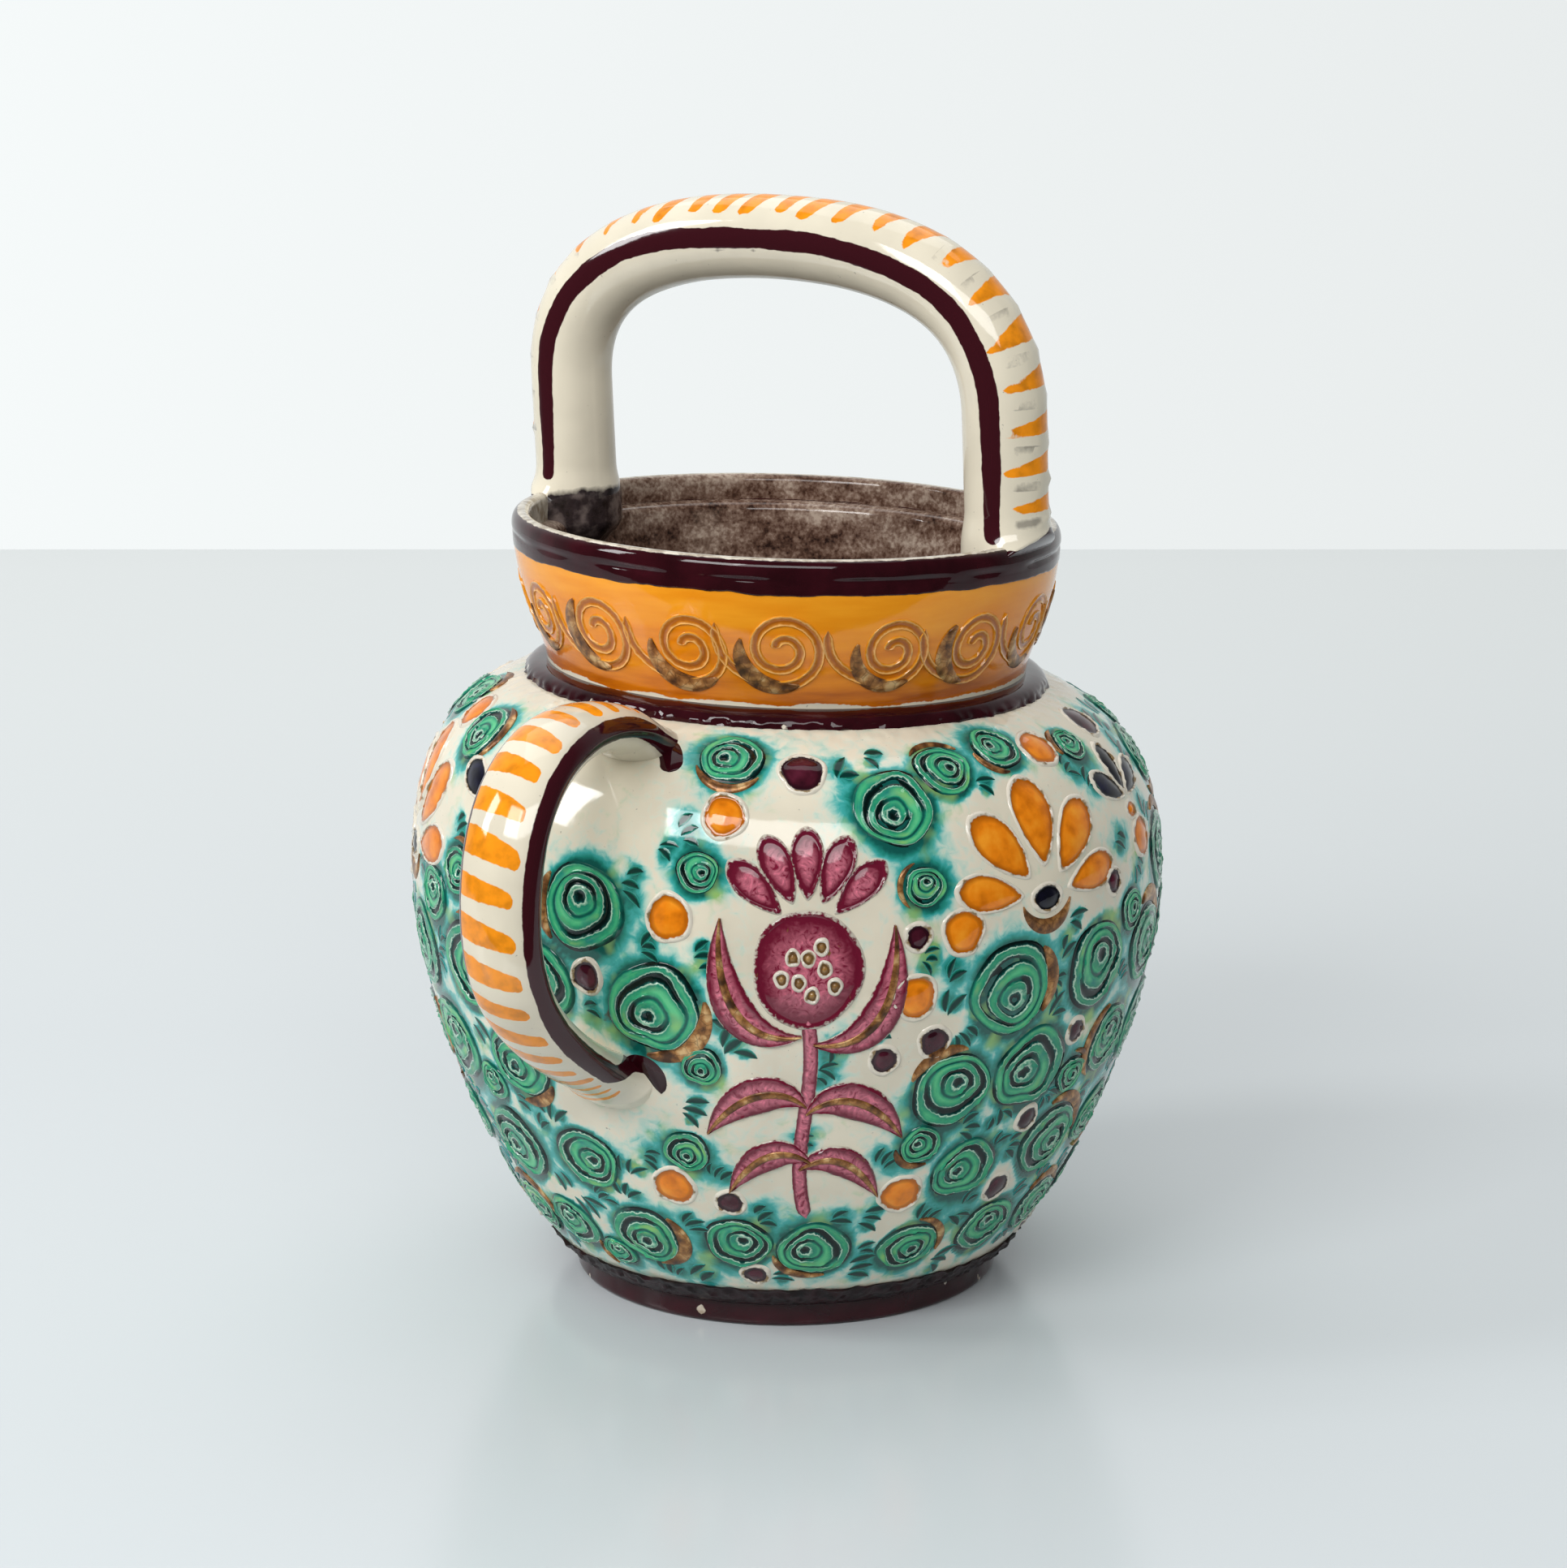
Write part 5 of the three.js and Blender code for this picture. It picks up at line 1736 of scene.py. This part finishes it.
class JUG_OT_stage(bpy.types.Operator):
    """Sets the pale table, the soft light and the camera"""

    bl_idname = "jug.stage"
    bl_label = "Stage"

    TABLE_FAR, TABLE_NEAR = 795.0, 195.0
    TABLE_THICKNESS = 30.0
    CAMERA = (358.9, -648.6, 262.5)
    VIEW_TURN = math.radians(29)
    VIEW_PITCH = 0.2266
    LENS = 94.39
    AIM = (0, 0, 90)
    # How bright the room is towards its wall, as light and in reflections, and how it fades to one side
    LIT = {"From Min": -0.3, "From Max": 0.5, "To Min": 0.32, "To Max": 0.7}
    MIRRORED = {"From Min": 0.1, "From Max": 0.9, "To Min": 0.07, "To Max": 0.85}
    FADING = {"From Min": -0.2, "From Max": 0.2, "To Min": 0.9, "To Max": 1.03}
    LAMPS = (
        Lamp("window_left", -93, 36, 1500, 600, 450, 10.5),
        Lamp("window_right", -60, 36, 1500, 960, 450, 5.0),
        Lamp("side_window", -139, 30, 1300, 260, 500, 13.0),
        Lamp("ceiling", 119, 66, 1500, 1300, 1300, 1.1),
    )

    def execute(self, context):
        self.table()
        self.room()
        self.camera()
        return {"FINISHED"}

    def table(self):
        """A lacquered pale board with a rounded edge, its colour painted lighter towards the back as a
        painted reflection of the bright wall.
        """
        bpy.ops.object.select_all(action="DESELECT")
        bpy.ops.mesh.primitive_cube_add(size=1, enter_editmode=True)
        far, near, thick = self.TABLE_FAR * MM, self.TABLE_NEAR * MM, self.TABLE_THICKNESS * MM
        bpy.ops.transform.resize(value=(2 * far, far + near, thick))
        bpy.ops.transform.translate(value=(0, (far - near) / 2, -thick / 2))
        bpy.ops.mesh.bevel(offset=3 * MM, segments=4)
        bpy.ops.transform.rotate(value=-self.VIEW_TURN, orient_axis="Z", center_override=(0, 0, 0))
        bpy.ops.object.mode_set(mode="OBJECT")
        table = bpy.context.object
        table.name = "table"
        g = Glaze("lacquered_board", Roughness=0.2, IOR=1.45)
        away = (-math.sin(self.VIEW_TURN), math.cos(self.VIEW_TURN), 0)
        back = g.node("VectorMath", {0: g.place, 1: away}, out="Value", operation="DOT_PRODUCT")
        depth = g.node("MapRange", {"Value": back, "From Min": -near, "From Max": far})
        # Painted reflection: the board's grey runs from darker at its near edge to near white at its back,
        # for the bright wall it mirrors there.
        greys_with_painted_reflection = ((0.0, "#CDD3D6"), (0.35, "#D3D8DB"), (0.95, "#F1F5F5"))
        table.data.materials.append(g.coat(g.node("ValToRGB", {"Fac": depth}, greys_with_painted_reflection), 40, 0.02))

    def room(self):
        """A pale wall behind, a dimmer room in front of it, and soft lamps like windows."""
        world = bpy.context.scene.world or bpy.data.worlds.new("room")
        bpy.context.scene.world = world
        world.use_nodes = True
        tree = world.node_tree
        node = functools.partial(add_node, tree)
        ray = node("LightPath").node.outputs
        look = node("TexCoord", out="Generated")
        to_wall = (-math.sin(self.VIEW_TURN), math.cos(self.VIEW_TURN), 0)
        to_left = (-math.cos(self.VIEW_TURN), -math.sin(self.VIEW_TURN), 0)
        wallward = node("VectorMath", {0: look, 1: to_wall}, out="Value", operation="DOT_PRODUCT")
        leftward = node("VectorMath", {0: look, 1: to_left}, out="Value", operation="DOT_PRODUCT")
        lit = node("MapRange", {"Value": wallward, **self.LIT})
        mirrored = node("MapRange", {"Value": wallward, **self.MIRRORED})
        fading = node("MapRange", {"Value": leftward, **self.FADING})
        mirror_rays = {0: ray["Is Glossy Ray"], 1: ray["Is Transmission Ray"]}
        shiny = node("Math", mirror_rays, operation="MAXIMUM")
        strength = node("Mix", {0: shiny, 2: lit, 3: mirrored})
        strength = node("Mix", {0: ray["Is Camera Ray"], 2: strength, 3: 1.0})
        strength = node("Math", {0: strength, 1: fading}, operation="MULTIPLY")
        background = tree.nodes["Background"]
        background.inputs["Color"].default_value = linear("#F3F7F7")
        tree.links.new(strength, background.inputs["Strength"])
        for lamp in self.LAMPS:
            self.lamp(lamp)

    def lamp(self, lamp):
        """A flat soft lamp that looks at the jug from a bearing and an elevation."""
        data = bpy.data.lights.new(lamp.name, "AREA")
        data.shape = "RECTANGLE"
        data.size, data.size_y = lamp.width * MM, lamp.height * MM
        data.energy = lamp.radiance * math.pi * data.size * data.size_y
        made = bpy.data.objects.new(lamp.name, data)
        bpy.context.collection.objects.link(made)
        bearing, elevation = math.radians(lamp.bearing), math.radians(lamp.elevation)
        level = math.cos(elevation)
        toward = Vector((level * math.cos(bearing), level * math.sin(bearing), math.sin(elevation)))
        made.location = (Vector(self.AIM) + toward * lamp.distance) * MM
        made.rotation_euler = toward.to_track_quat("Z", "Y").to_euler()

    def camera(self):
        data = bpy.data.cameras.new("camera")
        data.sensor_width = 36
        data.sensor_fit = "HORIZONTAL"
        data.lens = self.LENS
        camera = bpy.data.objects.new("camera", data)
        bpy.context.collection.objects.link(camera)
        camera.location = Vector(self.CAMERA) * MM
        camera.rotation_euler = (math.pi / 2 - self.VIEW_PITCH, 0, self.VIEW_TURN)
        bpy.context.scene.camera = camera
        bpy.context.scene.view_settings.view_transform = "Standard"


class JUG_PT_panel(bpy.types.Panel):
    """Lists the jug's sizes, colours and pieces"""

    bl_idname = "JUG_PT_panel"
    bl_label = "Earthenware jug"
    bl_space_type = "VIEW_3D"
    bl_region_type = "UI"
    bl_category = "Jug"

    def draw(self, context):
        for group in (sizes(), colours()):
            for name in type(group).__annotations__:
                self.layout.prop(group, name)
        for operator in OPERATORS:
            self.layout.operator(operator.bl_idname)


OPERATORS = (
    JUG_OT_foot,
    JUG_OT_body,
    JUG_OT_ring,
    JUG_OT_collar,
    JUG_OT_scroll,
    JUG_OT_rim,
    JUG_OT_basket_handle,
    JUG_OT_side_handle,
    JUG_OT_roundels,
    JUG_OT_cuts,
    JUG_OT_cells,
    JUG_OT_leaves,
    JUG_OT_lustre,
    JUG_OT_line_ends,
    JUG_OT_stage,
)
CLASSES = (JugSizes, JugColours, *OPERATORS, JUG_PT_panel)


def register():
    for kind in CLASSES:
        bpy.utils.register_class(kind)
    bpy.types.Scene.jug_sizes = PointerProperty(type=JugSizes)
    bpy.types.Scene.jug_colours = PointerProperty(type=JugColours)


def unregister():
    del bpy.types.Scene.jug_colours
    del bpy.types.Scene.jug_sizes
    for kind in reversed(CLASSES):
        bpy.utils.unregister_class(kind)


def main():
    register()
    for operator in OPERATORS:
        group, name = operator.bl_idname.split(".")
        getattr(getattr(bpy.ops, group), name)()


if __name__ == "__main__":
    main()
